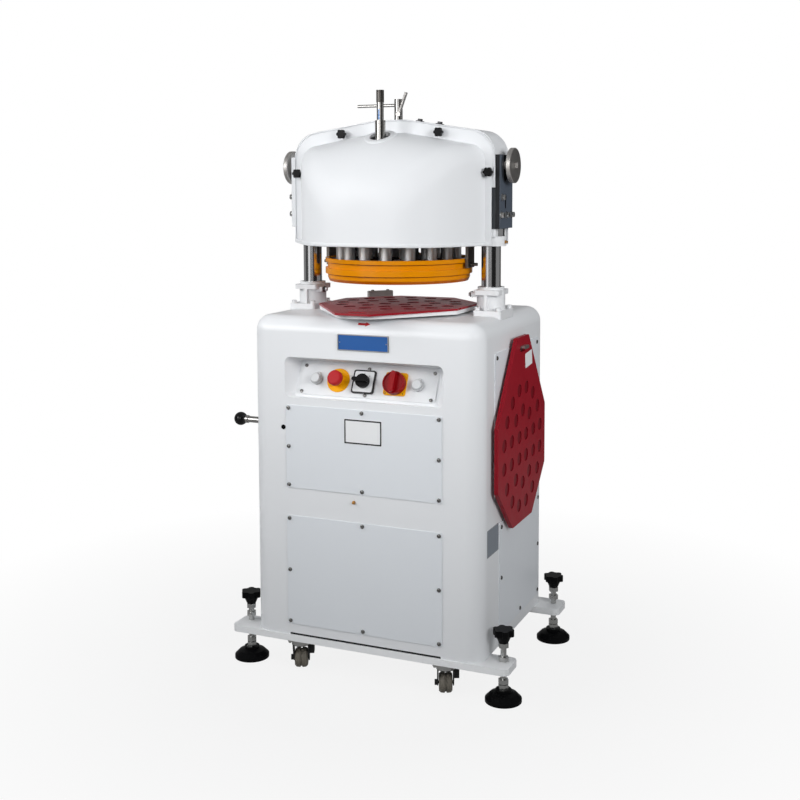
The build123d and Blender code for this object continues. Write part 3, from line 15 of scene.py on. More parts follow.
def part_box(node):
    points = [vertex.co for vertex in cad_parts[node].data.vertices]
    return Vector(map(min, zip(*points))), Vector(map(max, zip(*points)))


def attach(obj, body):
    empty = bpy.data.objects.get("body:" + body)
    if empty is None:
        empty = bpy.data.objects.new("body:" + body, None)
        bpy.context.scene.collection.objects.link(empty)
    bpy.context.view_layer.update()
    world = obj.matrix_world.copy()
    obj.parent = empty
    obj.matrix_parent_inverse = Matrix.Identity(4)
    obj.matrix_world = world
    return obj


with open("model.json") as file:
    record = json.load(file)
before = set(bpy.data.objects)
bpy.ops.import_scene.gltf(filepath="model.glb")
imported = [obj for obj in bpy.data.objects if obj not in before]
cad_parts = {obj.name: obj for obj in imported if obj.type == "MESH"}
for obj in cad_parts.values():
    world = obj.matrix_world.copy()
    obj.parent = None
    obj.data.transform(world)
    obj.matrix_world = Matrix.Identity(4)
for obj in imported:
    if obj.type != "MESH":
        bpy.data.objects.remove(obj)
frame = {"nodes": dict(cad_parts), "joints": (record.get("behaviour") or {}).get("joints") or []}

LOG = logging.getLogger("dough_divider")
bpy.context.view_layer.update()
MM = 0.001

Colour = tuple[float, float, float]
Ring = list[Vector]
# Sections and plate profiles are in millimetres, all other lengths in metres.
Section = tuple[tuple[float, float], ...]
PlateProfile = tuple[tuple[float, float, float], ...]
Socket = bpy.types.NodeSocket
Value = Union[Socket, float, Colour]


class Body(str, Enum):
    """Bodies that the added pieces ride on."""

    CABINET = "cabinet"
    HEAD = "head"
    OUTER_PLATE = "spare_plate_outer"
    SELECTOR = "selector_knob"
    MAIN_SWITCH = "main_switch_knob"


class Effect(str, Enum):
    """Surface effects that several finishes share."""

    PAINT_SKIN = "paint_skin"
    EDGE_WEAR = "edge_wear"
    DUST_FILM = "dust_film"
    METAL_GRAIN = "metal_grain"
    MOULD_GRAIN = "mould_grain"


class Axis(Enum):
    """Axes of the frame, as the index of a coordinate."""

    X = 0
    Y = 1
    Z = 2


class Side(Enum):
    """Sides that a piece can stand on: which way is out of the surface, and which way is up on it."""

    FRONT = ((0, -1, 0), (0, 0, 1))
    REAR = ((0, 1, 0), (0, 0, 1))
    LEFT = ((-1, 0, 0), (0, 0, 1))
    RIGHT = ((1, 0, 0), (0, 0, 1))
    TOP = ((0, 0, 1), (0, 1, 0))
    UNDER = ((0, 0, -1), (0, 1, 0))


class ShaderTree:
    """Thin layer over a node tree that adds nodes and links them."""

    def __init__(self, tree: bpy.types.NodeTree) -> None:
        """Wraps the tree of a material, of a node group or of the world."""
        self.tree = tree

    def add(self, kind: str, **settings: object) -> bpy.types.Node:
        """Adds a node.

        Args:
            kind: The node's type name.
            **settings: Properties of the node to set.

        Returns:
            The new node.
        """
        node = self.tree.nodes.new(kind)
        for name, value in settings.items():
            setattr(node, name, value)
        return node

    def feed(self, value: Value, target: Socket) -> None:
        """Links a socket to an input, or writes a constant on it.

        Args:
            value: A socket, a number or a colour.
            target: The input to feed.
        """
        if isinstance(value, bpy.types.NodeSocket):
            self.tree.links.new(value, target)
        elif isinstance(value, (int, float)):
            target.default_value = value
        else:
            is_colour = target.type == "RGBA"
            target.default_value = (*value, 1.0) if is_colour else value

    def place(self) -> Socket:
        """Gives the place of a point in the part's frame at rest."""
        return self.add("ShaderNodeTexCoord").outputs["Object"]

    def maths(self, operation: str, a: Value, b: Value = 0.0, clamp: bool = False) -> Socket:
        """Works out a value from two others.

        Args:
            operation: The operation's name.
            a: The first value.
            b: The second value.
            clamp: Whether the result stays between 0 and 1.

        Returns:
            The result.
        """
        node = self.add("ShaderNodeMath", operation=operation, use_clamp=clamp)
        self.feed(a, node.inputs[0])
        self.feed(b, node.inputs[1])
        return node.outputs[0]

    def mix(self, share: Value, a: Value, b: Value, blend: str = "MIX") -> Socket:
        """Mixes two colours.

        Args:
            share: How much of the second colour.
            a: The first colour.
            b: The second colour.
            blend: The way of mixing.

        Returns:
            The mixed colour.
        """
        node = self.add("ShaderNodeMix", data_type="RGBA", blend_type=blend)
        self.feed(share, node.inputs["Factor"])
        first, second = [socket for socket in node.inputs if socket.type == "RGBA"]
        self.feed(a, first)
        self.feed(b, second)
        return next(socket for socket in node.outputs if socket.type == "RGBA")

    def mix_value(self, share: Value, a: Value, b: Value) -> Socket:
        """Mixes two numbers.

        Args:
            share: How much of the second number.
            a: The first number.
            b: The second number.

        Returns:
            The mixed number.
        """
        node = self.add("ShaderNodeMix", data_type="FLOAT")
        self.feed(share, node.inputs[0])
        self.feed(a, node.inputs[2])
        self.feed(b, node.inputs[3])
        return node.outputs[0]

    def noise(self, vector: Socket, scale: Value, detail: float = 2.0, roughness: float = 0.5) -> Socket:
        """Adds a cloudy noise.

        Args:
            vector: Where the noise is read.
            scale: How many clouds a metre.
            detail: How many finer layers.
            roughness: How strong the finer layers are.

        Returns:
            A value about 0.5.
        """
        node = self.add("ShaderNodeTexNoise")
        self.feed(vector, node.inputs["Vector"])
        self.feed(scale, node.inputs["Scale"])
        self.feed(detail, node.inputs["Detail"])
        self.feed(roughness, node.inputs["Roughness"])
        return node.outputs["Fac"]

    def about_zero(self, noise: Socket) -> Socket:
        """Shifts a noise so that it swings about zero."""
        return self.maths("SUBTRACT", noise, 0.5)

    def ramp(self, value: Value, low: Value, high: Value, start: Value = 0.0, end: Value = 1.0) -> Socket:
        """Maps a value from one span to another, held at the ends.

        Args:
            value: The value to map.
            low: Where the span starts.
            high: Where the span ends.
            start: What the low end becomes.
            end: What the high end becomes.

        Returns:
            The mapped value.
        """
        node = self.add("ShaderNodeMapRange", interpolation_type="LINEAR", clamp=True)
        names = ("Value", "From Min", "From Max", "To Min", "To Max")
        for name, given in zip(names, (value, low, high, start, end)):
            self.feed(given, node.inputs[name])
        return node.outputs["Result"]

    def along(self, axis: Axis) -> Socket:
        """Gives one coordinate of a point in the part's frame at rest.

        Args:
            axis: Which coordinate.

        Returns:
            The coordinate in metres.
        """
        split = self.add("ShaderNodeSeparateXYZ")
        self.feed(self.place(), split.inputs[0])
        return split.outputs[axis.value]

    def between(self, spot: Socket, start: float, end: float) -> Socket:
        """Gives a mask of a stretch along an axis: one inside it, and nothing outside it."""
        above = self.maths("GREATER_THAN", spot, start)
        return self.maths("MULTIPLY", above, self.maths("LESS_THAN", spot, end))


class EffectShop:
    """Builds each shared effect once, as a node group."""

    def __init__(self) -> None:
        """Starts with no groups."""
        self._groups: dict[Effect, bpy.types.NodeTree] = {}

    def get(self, effect: Effect) -> bpy.types.NodeTree:
        """Gives an effect's node group.

        Args:
            effect: The effect.

        Returns:
            The group, built on first use.
        """
        if effect not in self._groups:
            self._groups[effect] = getattr(self, "_" + effect.value)()
        return self._groups[effect]

    def _start(
        self, effect: Effect, inputs: dict[str, Value], *outputs: str
    ) -> tuple[ShaderTree, dict[str, Socket], bpy.types.NodeInputs]:
        """Opens a group with its sockets.

        Args:
            effect: The effect that the group makes.
            inputs: Names of the inputs with their resting values.
            *outputs: Names of the outputs.

        Returns:
            The tree, what comes in by name, and what goes out by name.
        """
        group = bpy.data.node_groups.new(effect.value, "ShaderNodeTree")
        for name, rest in inputs.items():
            kind = "NodeSocketFloat"
            if isinstance(rest, tuple):
                kind = "NodeSocketVector" if name == "Stretch" else "NodeSocketColor"
            socket = group.interface.new_socket(name=name, in_out="INPUT", socket_type=kind)
            socket.default_value = (*rest, 1.0) if kind == "NodeSocketColor" else rest
        for name in outputs:
            kind = "NodeSocketColor" if name == "Colour" else "NodeSocketFloat"
            group.interface.new_socket(name=name, in_out="OUTPUT", socket_type=kind)
        tree = ShaderTree(group)
        entry = tree.add("NodeGroupInput")
        leave = tree.add("NodeGroupOutput")
        return tree, {socket.name: socket for socket in entry.outputs if socket.name}, leave.inputs

    def _shade(
        self,
        tree: ShaderTree,
        given: dict[str, Socket],
        out: bpy.types.NodeInputs,
        tone: Socket,
        gloss: Socket,
    ) -> None:
        """Multiplies the colour that comes in by a tone, and shifts the roughness by a gloss."""
        tree.feed(tree.mix(1.0, given["Colour"], tone, "MULTIPLY"), out["Colour"])
        tree.feed(tree.maths("ADD", given["Roughness"], gloss, True), out["Roughness"])

    def _paint_skin(self) -> bpy.types.NodeTree:
        """Sprayed paint: faint orange peel, uneven gloss and a slow drift of tone.

        Returns:
            The group.
        """
        tree, given, out = self._start(
            Effect.PAINT_SKIN,
            {"Colour": (0.8, 0.8, 0.8), "Roughness": 0.3, "Peel Scale": 260.0, "Unevenness": 0.04},
            "Colour",
            "Roughness",
            "Height",
        )
        gloss_swing = 0.05
        place = tree.place()
        drift = tree.noise(place, scale=3.5, detail=3.0)
        tone = tree.maths("SUBTRACT", 1.0, tree.maths("MULTIPLY", drift, given["Unevenness"]))
        smear = tree.about_zero(tree.noise(place, scale=18.0, detail=4.0, roughness=0.6))
        self._shade(tree, given, out, tone, tree.maths("MULTIPLY", smear, gloss_swing))
        tree.feed(tree.noise(place, given["Peel Scale"], detail=1.0), out["Height"])
        return tree.tree

    def _edge_wear(self) -> bpy.types.NodeTree:
        """Edges that hands and tools have rubbed: a broken line along each sharp edge.

        Returns:
            The group.
        """
        tree, given, out = self._start(
            Effect.EDGE_WEAR,
            {"Colour": (0.8, 0.8, 0.8), "Worn Colour": (0.5, 0.5, 0.5), "Width": 0.0015, "Amount": 0.5},
            "Colour",
        )
        bevel = tree.add("ShaderNodeBevel", samples=4)
        tree.feed(given["Width"], bevel.inputs["Radius"])
        turned = tree.add("ShaderNodeVectorMath", operation="DOT_PRODUCT")
        tree.feed(bevel.outputs[0], turned.inputs[0])
        tree.feed(tree.add("ShaderNodeNewGeometry").outputs["Normal"], turned.inputs[1])
        edge = tree.ramp(turned.outputs["Value"], low=0.995, high=0.86)
        patches = tree.noise(tree.place(), scale=70.0, detail=4.0, roughness=0.7)
        broken = tree.ramp(patches, low=0.42, high=0.62)
        mask = tree.maths("MULTIPLY", tree.maths("MULTIPLY", edge, broken), given["Amount"], True)
        tree.feed(tree.mix(mask, given["Colour"], given["Worn Colour"]), out["Colour"])
        return tree.tree

    def _dust_film(self) -> bpy.types.NodeTree:
        """Flour dust that settles on faces that look up.

        Returns:
            The group.
        """
        tree, given, out = self._start(
            Effect.DUST_FILM,
            {"Colour": (0.8, 0.8, 0.8), "Roughness": 0.4, "Amount": 0.2},
            "Colour",
            "Roughness",
        )
        flour, flour_roughness = (0.74, 0.72, 0.68), 0.9
        split = tree.add("ShaderNodeSeparateXYZ")
        tree.feed(tree.add("ShaderNodeNewGeometry").outputs["Normal"], split.inputs[0])
        upward = tree.ramp(split.outputs["Z"], low=0.3, high=0.95)
        clouds = tree.noise(tree.place(), scale=14.0, detail=5.0, roughness=0.65)
        drift = tree.ramp(clouds, low=0.45, high=0.75)
        film = tree.maths("MULTIPLY", tree.maths("MULTIPLY", upward, drift), given["Amount"], True)
        tree.feed(tree.mix(film, given["Colour"], flour), out["Colour"])
        tree.feed(tree.mix_value(film, given["Roughness"], flour_roughness), out["Roughness"])
        return tree.tree

    def _metal_grain(self) -> bpy.types.NodeTree:
        """Tool marks of turned or brushed metal: noise drawn out along one way.

        Returns:
            The group.
        """
        tree, given, out = self._start(
            Effect.METAL_GRAIN,
            {"Colour": (0.6, 0.6, 0.6), "Roughness": 0.3, "Stretch": (1.0, 1.0, 1.0), "Variation": 0.15},
            "Colour",
            "Roughness",
            "Height",
        )
        scaled = tree.add("ShaderNodeVectorMath", operation="MULTIPLY")
        tree.feed(tree.place(), scaled.inputs[0])
        tree.feed(given["Stretch"], scaled.inputs[1])
        grain = tree.noise(scaled.outputs[0], scale=60.0, detail=5.0, roughness=0.65)
        stain = tree.noise(tree.place(), scale=26.0, detail=4.0, roughness=0.6)
        shade = tree.maths("MULTIPLY", tree.about_zero(grain), given["Variation"])
        cloud = tree.maths("MULTIPLY", tree.about_zero(stain), given["Variation"])
        tone = tree.maths("ADD", 1.0, tree.maths("ADD", shade, cloud))
        self._shade(tree, given, out, tone, shade)
        tree.feed(grain, out["Height"])
        return tree.tree

    def _mould_grain(self) -> bpy.types.NodeTree:
        """Fine sparkle and flow marks of moulded plastic or rubber.

        Returns:
            The group.
        """
        tree, given, out = self._start(
            Effect.MOULD_GRAIN,
            {"Colour": (0.1, 0.1, 0.1), "Roughness": 0.4, "Grain Scale": 900.0, "Flow": 0.1},
            "Colour",
            "Roughness",
            "Height",
        )
        gloss_swing = 0.25
        place = tree.place()
        flow = tree.about_zero(tree.noise(place, scale=22.0, detail=4.0, roughness=0.6))
        tone = tree.maths("ADD", 1.0, tree.maths("MULTIPLY", flow, given["Flow"]))
        self._shade(tree, given, out, tone, tree.maths("MULTIPLY", flow, gloss_swing))
        tree.feed(tree.noise(place, given["Grain Scale"], detail=2.0), out["Height"])
        return tree.tree


EFFECTS = EffectShop()


@dataclass(frozen=True)
class Finish:
    """Finish of a surface, which builds its own material."""

    skin: ClassVar[Effect]
    name: str
    colour: Colour
    roughness: float
    bump: float = 0.1
    bump_depth: float = 0.2 * MM
    edge_radius: float = 0.6 * MM
    worn: Colour = (0.5, 0.5, 0.5)
    wear: float = 0.15
    dust: float = 0.0

    def material(self) -> bpy.types.Material:
        """Gives the finish's material.

        Returns:
            The material, built on first use.
        """
        title = self.name + "_finish"
        made = bpy.data.materials.get(title)
        if made is None:
            made = bpy.data.materials.new(title)
            made.use_nodes = True
            tree = ShaderTree(made.node_tree)
            shader = made.node_tree.nodes["Principled BSDF"]
            self.soften(tree, shader, self.dress(tree, shader))
        return made

    def base_colour(self, tree: ShaderTree) -> Value:
        """Gives the colour before grain, wear and dust."""
        return self.colour

    def skin_values(self) -> dict[str, Value]:
        """Gives the inputs of the skin's effect apart from colour and roughness."""
        return {}

    def shader_values(self) -> dict[str, float]:
        """Gives the constants that the shader takes."""
        return {}

    def dress(self, tree: ShaderTree, shader: bpy.types.Node) -> Socket:
        """Feeds the shader.

        Args:
            tree: The material's tree.
            shader: The surface shader.

        Returns:
            The relief of the surface.
        """
        fresh = self.effect(
            tree,
            self.skin,
            Colour=self.base_colour(tree),
            Roughness=self.roughness,
            **self.skin_values(),
        )
        for name, value in self.shader_values().items():
            shader.inputs[name].default_value = value
        return self.age(tree, shader, fresh)

    def effect(self, tree: ShaderTree, effect: Effect, **values: Value) -> bpy.types.Node:
        """Places a shared effect in a material.

        Args:
            tree: The material's tree.
            effect: The effect.
            **values: The effect's inputs, with underscores for spaces.

        Returns:
            The group's node.
        """
        node = tree.add("ShaderNodeGroup", node_tree=EFFECTS.get(effect))
        for name, value in values.items():
            tree.feed(value, node.inputs[name.replace("_", " ")])
        return node

    def age(self, tree: ShaderTree, shader: bpy.types.Node, fresh: bpy.types.Node) -> Socket:
        """Rubs the edges of a surface, lays flour dust on it and feeds the shader with it.

        Args:
            tree: The material's tree.
            shader: The surface shader.
            fresh: The effect that gives the surface as it was when new.

        Returns:
            The relief of the surface.
        """
        colour, roughness = fresh.outputs["Colour"], fresh.outputs["Roughness"]
        if self.wear:
            rubbed = self.effect(
                tree, Effect.EDGE_WEAR, Colour=colour, Worn_Colour=self.worn, Amount=self.wear
            )
            colour = rubbed.outputs["Colour"]
        if self.dust:
            film = self.effect(tree, Effect.DUST_FILM, Colour=colour, Roughness=roughness, Amount=self.dust)
            colour, roughness = film.outputs["Colour"], film.outputs["Roughness"]
        tree.feed(colour, shader.inputs["Base Color"])
        tree.feed(roughness, shader.inputs["Roughness"])
        return fresh.outputs["Height"]

    def soften(self, tree: ShaderTree, shader: bpy.types.Node, height: Socket) -> None:
        """Rounds the look of sharp edges and lays the surface's relief on it.

        Args:
            tree: The material's tree.
            shader: The surface shader.
            height: The relief.
        """
        bevel = tree.add("ShaderNodeBevel", samples=4)
        bevel.inputs["Radius"].default_value = self.edge_radius
        bump = tree.add("ShaderNodeBump")
        bump.inputs["Strength"].default_value = self.bump
        bump.inputs["Distance"].default_value = self.bump_depth
        tree.feed(height, bump.inputs["Height"])
        tree.feed(bevel.outputs[0], bump.inputs["Normal"])
        tree.feed(bump.outputs[0], shader.inputs["Normal"])


@dataclass(frozen=True)
class Paint(Finish):
    """Sprayed and baked paint on sheet or castings."""

    skin: ClassVar[Effect] = Effect.PAINT_SKIN
    worn: Colour = (0.42, 0.42, 0.42)
    wear: float = 0.0
    dust: float = 0.03
    peel_scale: float = 260.0
    unevenness: float = 0.04
    coat: float = 0.3
    coat_roughness: float = 0.08

    def skin_values(self) -> dict[str, Value]:
        """Gives the orange peel and the drift of tone."""
        return {"Peel_Scale": self.peel_scale, "Unevenness": self.unevenness}

    def shader_values(self) -> dict[str, float]:
        """Gives the clear coat."""
        return {"Coat Weight": self.coat, "Coat Roughness": self.coat_roughness}


@dataclass(frozen=True)
class Metal(Finish):
    """Bare, plated or blued metal with tool marks."""

    skin: ClassVar[Effect] = Effect.METAL_GRAIN
    worn: Colour = (0.75, 0.75, 0.75)
    wear: float = 0.3
    stretch: tuple[float, float, float] = (1.0, 1.0, 1.0)
    variation: float = 0.15

    def skin_values(self) -> dict[str, Value]:
        """Gives the way and the strength of the tool marks."""
        return {"Stretch": self.stretch, "Variation": self.variation}

    def shader_values(self) -> dict[str, float]:
        """Makes the surface metal."""
        return {"Metallic": 1.0}


@dataclass(frozen=True)
class Moulded(Finish):
    """Moulded plastic, resin or rubber."""

    skin: ClassVar[Effect] = Effect.MOULD_GRAIN
    worn: Colour = (0.3, 0.3, 0.3)
    wear: float = 0.1
    dust: float = 0.06
    grain_scale: float = 900.0
    flow: float = 0.12
    specular: float = 0.5

    def skin_values(self) -> dict[str, Value]:
        """Gives the grain and the flow marks."""
        return {"Grain_Scale": self.grain_scale, "Flow": self.flow}

    def shader_values(self) -> dict[str, float]:
        """Gives the strength of the reflections."""
        return {"Specular IOR Level": self.specular}


@dataclass(frozen=True)
class Pocketed(Moulded):
    """Resin plate whose pockets, sunk in one face, are darker than the face, as painted shade."""

    axis: Axis = Axis.Z
    face: float = 0.0
    lip: float = 0.2 * MM
    centre: tuple[float, float, float] = (0.0, 0.0, 0.0)
    reach: float = 0.1
    # Colour of the pockets: painted shade.
    pocket_shade: Colour = (0.1, 0.1, 0.1)

    def base_colour(self, tree: ShaderTree) -> Value:
        """Gives the colour, told apart by how deep a point lies under the face, inside the plate's edge.

        Args:
            tree: The material's tree.

        Returns:
            The colour of the face, or the painted shade of a pocket.
        """
        distance = tree.add("ShaderNodeVectorMath", operation="DISTANCE")
        tree.feed(tree.place(), distance.inputs[0])
        distance.inputs[1].default_value = self.centre
        inside = tree.maths("LESS_THAN", distance.outputs["Value"], self.reach)
        sunk = tree.maths("LESS_THAN", tree.along(self.axis), self.face - self.lip)
        # Points sunk under the face, inside the plate's edge, take the pockets' painted shade.
        return tree.mix(tree.maths("MULTIPLY", inside, sunk), self.colour, self.pocket_shade)


@dataclass(frozen=True)
class Band:
    """Stretch of a piece along an axis that has a finish of its own."""

    start: float
    end: float
    colour: Colour
    roughness: float
    metallic: float = 0.0


@dataclass(frozen=True)
class Banded(Finish):
    """Piece made of several materials, told apart by their place along one axis."""

    skin: ClassVar[Effect] = Effect.MOULD_GRAIN
    axis: Axis = Axis.Z
    metallic: float = 0.0
    bands: tuple[Band, ...] = ()
    flow: float = 0.1
    specular: float = 0.3
    thread_pitch: float = 0.0
    thread_span: tuple[float, float] = (0.0, 0.0)
    thread_grain: float = 0.2

    def layers(self, tree: ShaderTree, spot: Socket) -> tuple[Value, Value, Value]:
        """Gives the colour, the roughness and the metalness along the piece.

        Args:
            tree: The material's tree.
            spot: The place along the axis.

        Returns:
            The three values.
        """
        colour: Value = self.colour
        roughness: Value = self.roughness
        metallic: Value = self.metallic
        for band in self.bands:
            inside = tree.between(spot, band.start, band.end)
            colour = tree.mix(inside, colour, band.colour)
            roughness = tree.mix_value(inside, roughness, band.roughness)
            metallic = tree.mix_value(inside, metallic, band.metallic)
        return colour, roughness, metallic

    def dress(self, tree: ShaderTree, shader: bpy.types.Node) -> Socket:
        """Feeds the shader.

        Args:
            tree: The material's tree.
            shader: The surface shader.

        Returns:
            The grain that all the bands share, with the thread where there is one.
        """
        spot = tree.along(self.axis)
        colour, roughness, metallic = self.layers(tree, spot)
        grain = self.effect(tree, self.skin, Colour=colour, Roughness=roughness, Flow=self.flow)
        tree.feed(metallic, shader.inputs["Metallic"])
        shader.inputs["Specular IOR Level"].default_value = self.specular
        height = self.age(tree, shader, grain)
        if not self.thread_pitch:
            return height
        turns = tree.maths("PINGPONG", spot, self.thread_pitch / 2)
        ridge = tree.maths("DIVIDE", turns, self.thread_pitch / 2)
        cut = tree.maths("MULTIPLY", ridge, tree.between(spot, *self.thread_span))
        return tree.maths("ADD", cut, tree.maths("MULTIPLY", height, self.thread_grain))


@dataclass(frozen=True)
class Printed(Banded):
    """Rod with a strip of colour and plain marks printed down its front."""

    ink: Colour = (0.01, 0.2, 0.6)
    mark_ink: Colour = (0.82, 0.83, 0.84)
    ink_roughness: float = 0.45
    strip_half: float = 2.2 * MM
    strip_span: tuple[float, float] = (0.0, 0.0)
    strip_front: float = 0.0
    mark_pitch: float = 3.6 * MM
    mark_share: float = 0.28

    def layers(self, tree: ShaderTree, spot: Socket) -> tuple[Value, Value, Value]:
        """Gives the colour, the roughness and the metalness along the piece.

        Args:
            tree: The material's tree.
            spot: The place along the axis.

        Returns:
            The three values.
        """
        colour, roughness, metallic = super().layers(tree, spot)
        narrow = tree.between(tree.along(Axis.X), -self.strip_half, self.strip_half)
        front = tree.maths("LESS_THAN", tree.along(Axis.Y), self.strip_front)
        inside = tree.maths("MULTIPLY", narrow, tree.between(spot, *self.strip_span))
        inside = tree.maths("MULTIPLY", inside, front)
        turns = tree.maths("PINGPONG", spot, self.mark_pitch / 2)
        mark = tree.maths("LESS_THAN", turns, self.mark_pitch / 2 * self.mark_share)
        ink = tree.mix(mark, self.ink, self.mark_ink)
        return (
            tree.mix(inside, colour, ink),
            tree.mix_value(inside, roughness, self.ink_roughness),
            tree.mix_value(inside, metallic, 0.0),
        )


# Ends of bands that reach past their piece.
BELOW = -1.0
ABOVE = 2.0
# Values of surfaces that are neither rubbed nor dusty.
CLEAN: dict[str, float] = {"wear": 0.0, "dust": 0.0}

WHITE: Colour = (0.81, 0.825, 0.845)
CAST_WHITE: Colour = (0.79, 0.8, 0.815)
ZINC: Colour = (0.5, 0.5, 0.49)
STEEL: Colour = (0.46, 0.45, 0.435)
BLACK: Colour = (0.004, 0.004, 0.0045)
YELLOW: Colour = (0.88, 0.4, 0.0)
# Dark colour of the beam inside the hood: painted shade there.
BEAM_SHADE_DARK: Colour = (0.045, 0.05, 0.056)
BAR_WHITE: Colour = (0.88, 0.89, 0.9)
FORK_BLACK: Colour = (0.012, 0.0125, 0.014)
BEZEL_GREY: Colour = (0.5, 0.51, 0.52)
SELECTOR_GREY: Colour = (0.74, 0.75, 0.76)
RESIN_RED: Colour = (0.3, 0.006, 0.016)
RUBBED_RESIN: Colour = (0.42, 0.02, 0.035)
SLATE: Colour = (0.08, 0.097, 0.125)
# Painted shade on the edges of the right side plate.
SLATE_EDGE_SHADE: Colour = (0.006, 0.007, 0.009)
GRIP_STEEL: Colour = (0.16, 0.15, 0.14)
RING_YELLOW: Colour = (0.72, 0.25, 0.0)

SHELL_PAINT = Paint("shell_paint", WHITE, roughness=0.36, bump=0.04, coat=0.12, coat_roughness=0.16)
COVER_PAINT = Paint("cover_paint", (0.765, 0.795, 0.83), roughness=0.42, bump=0.05, coat=0.06)
HOOD_PAINT = Paint(
    "hood_paint",
    (0.785, 0.8, 0.82),
    roughness=0.46,
    bump=0.05,
    coat=0.08,
    coat_roughness=0.3,
    edge_radius=1 * MM,
)
CASTING_PAINT = Paint(
    "casting_paint", CAST_WHITE, roughness=0.4, bump=0.2, peel_scale=320.0, wear=0.12, edge_radius=1.2 * MM
)
TABLE_PAINT = Paint("table_paint", (0.8, 0.81, 0.825), roughness=0.32, wear=0.1)
PANEL_PAINT = Paint("panel_paint", (0.78, 0.795, 0.815), roughness=0.42, bump=0.04, coat=0.06)
BLOCK_STEEL = Paint("block_steel", (0.36, 0.34, 0.325), roughness=0.4, coat=0.05)
INNER_IRON = Paint("inner_iron", (0.16, 0.18, 0.2), roughness=0.5, bump=0.3, dust=0.3)
PLATE_BLUE = Paint("plate_blue", (0.0, 0.085, 0.33), roughness=0.45, bump=0.04, coat=0.0, dust=0.0)

BLACK_PLASTIC = Moulded("black_plastic", BLACK, roughness=0.26, specular=0.09, **CLEAN)
GREY_RUBBER = Moulded("grey_rubber", (0.15, 0.135, 0.11), roughness=0.5, flow=0.5, wear=0.2)
BELT_RUBBER = Moulded("belt_rubber", (0.02, 0.02, 0.02), roughness=0.7)
WHITE_PLASTIC = Moulded("white_plastic", (0.6, 0.615, 0.63), roughness=0.35, dust=0.0)
RED_PLASTIC = Moulded(
    "red_plastic", (0.27, 0.003, 0.006), roughness=0.36, specular=0.18, bump=0.03, **CLEAN
)
STOP_RED = Moulded("stop_red", (0.43, 0.014, 0.019), roughness=0.42, specular=0.2, bump=0.04, **CLEAN)
LABEL_WHITE = Moulded("label_white", (0.82, 0.83, 0.84), roughness=0.5, bump=0.03, flow=0.02, **CLEAN)
LABEL_GREY = Moulded("label_grey", (0.2, 0.225, 0.26), roughness=0.45, bump=0.05, flow=0.4, **CLEAN)
LABEL_INK = Moulded("label_ink", (0.006, 0.006, 0.007), roughness=0.5, bump=0.03, **CLEAN)
ARROW_RED = Moulded("arrow_red", (0.5, 0.008, 0.012), roughness=0.5, bump=0.03, **CLEAN)

CHROME = Metal(
    "column_chrome", (0.62, 0.62, 0.63), roughness=0.13, stretch=(1.0, 1.0, 14.0), variation=0.05, bump=0.02
)
TURNED_STEEL = Metal(
    "turned_steel", (0.6, 0.58, 0.56), roughness=0.45, stretch=(10.0, 1.0, 1.0), variation=0.2, bump=0.06
)
ROD_STEEL = Metal("rod_steel", STEEL, roughness=0.22, stretch=(1.0, 1.0, 10.0), bump=0.04)
STAMP_METAL = Metal(
    "stamp_aluminium", (0.82, 0.82, 0.82), roughness=0.55, stretch=(12.0, 12.0, 1.0), variation=0.2
)
DARK_STEEL = Metal(
    "dark_steel", (0.1, 0.1, 0.105), roughness=0.38, variation=0.25, worn=(0.35, 0.35, 0.35), wear=0.5
)
SCREW_STEEL = Metal("screw_steel", (0.24, 0.235, 0.23), roughness=0.2, variation=0.2, wear=0.5)
ZINC_PLATE = Metal("zinc_plate", ZINC, roughness=0.28, variation=0.25)
BRASS = Metal("brass", (0.6, 0.3, 0.08), roughness=0.3, variation=0.25)
BRACKET_STEEL = Metal("bracket_steel", (0.16, 0.14, 0.125), roughness=0.42, variation=0.3, wear=0.6)
PLATE_SILVER = Metal("plate_silver", (0.4, 0.4, 0.4), roughness=0.3, stretch=(1.0, 1.0, 12.0))


def circle(radius: float, height: float, count: int) -> Ring:
    """Gives points of a level circle.

    Args:
        radius: Its radius.
        height: Its level.
        count: How many points.

    Returns:
        The points.
    """
    turns = [2 * pi * step / count for step in range(count)]
    return [Vector((radius * cos(turn), radius * sin(turn), height)) for turn in turns]


def hexagon(flats: float, height: float, count: int) -> Ring:
    """Gives points along a level hexagon, as many as a circle beside it has.

    Args:
        flats: Its width over opposite sides.
        height: Its level.
        count: How many points.

    Returns:
        The points.
    """
    points = []
    half_side = pi / 6
    for step in range(count):
        turn = 2 * pi * step / count
        offset = (turn % (2 * half_side)) - half_side
        radius = flats / 2 / cos(offset)
        points.append(Vector((radius * cos(turn), radius * sin(turn), height)))
    return points


def panel_ring(width: float, length: float, corner: float, height: float, steps: int = 5) -> Ring:
    """Gives points of a level rectangle with round corners.

    Args:
        width: Its size along X.
        length: Its size along Y.
        corner: The radius of its corners.
        height: Its level.
        steps: How many points each corner has.

    Returns:
        The points.
    """
    points = []
    for quarter, (side_x, side_y) in enumerate(((1, 1), (-1, 1), (-1, -1), (1, -1))):
        centre = Vector((side_x * (width / 2 - corner), side_y * (length / 2 - corner), height))
        for step in range(steps):
            turn = pi / 2 * (quarter + step / (steps - 1))
            points.append(centre + Vector((corner * cos(turn), corner * sin(turn), 0)))
    return points


def turned_rings(profile: Section, count: int) -> list[Ring]:
    """Gives the rings of a turned piece.

    Args:
        profile: The radius and the level of each ring, in millimetres.
        count: How many points each ring has.

    Returns:
        The rings.
    """
    return [circle(radius * MM, level * MM, count) for radius, level in profile]


def plate_rings(width: float, length: float, profile: PlateProfile) -> list[Ring]:
    """Gives the rings of a plate with round corners.

    Args:
        width: Its size along X.
        length: Its size along Y.
        profile: How far each ring lies inside the edge, its corners' radius and its level, in millimetres.

    Returns:
        The rings.
    """
    return [
        panel_ring(width - 2 * inset * MM, length - 2 * inset * MM, corner * MM, level * MM)
        for inset, corner, level in profile
    ]


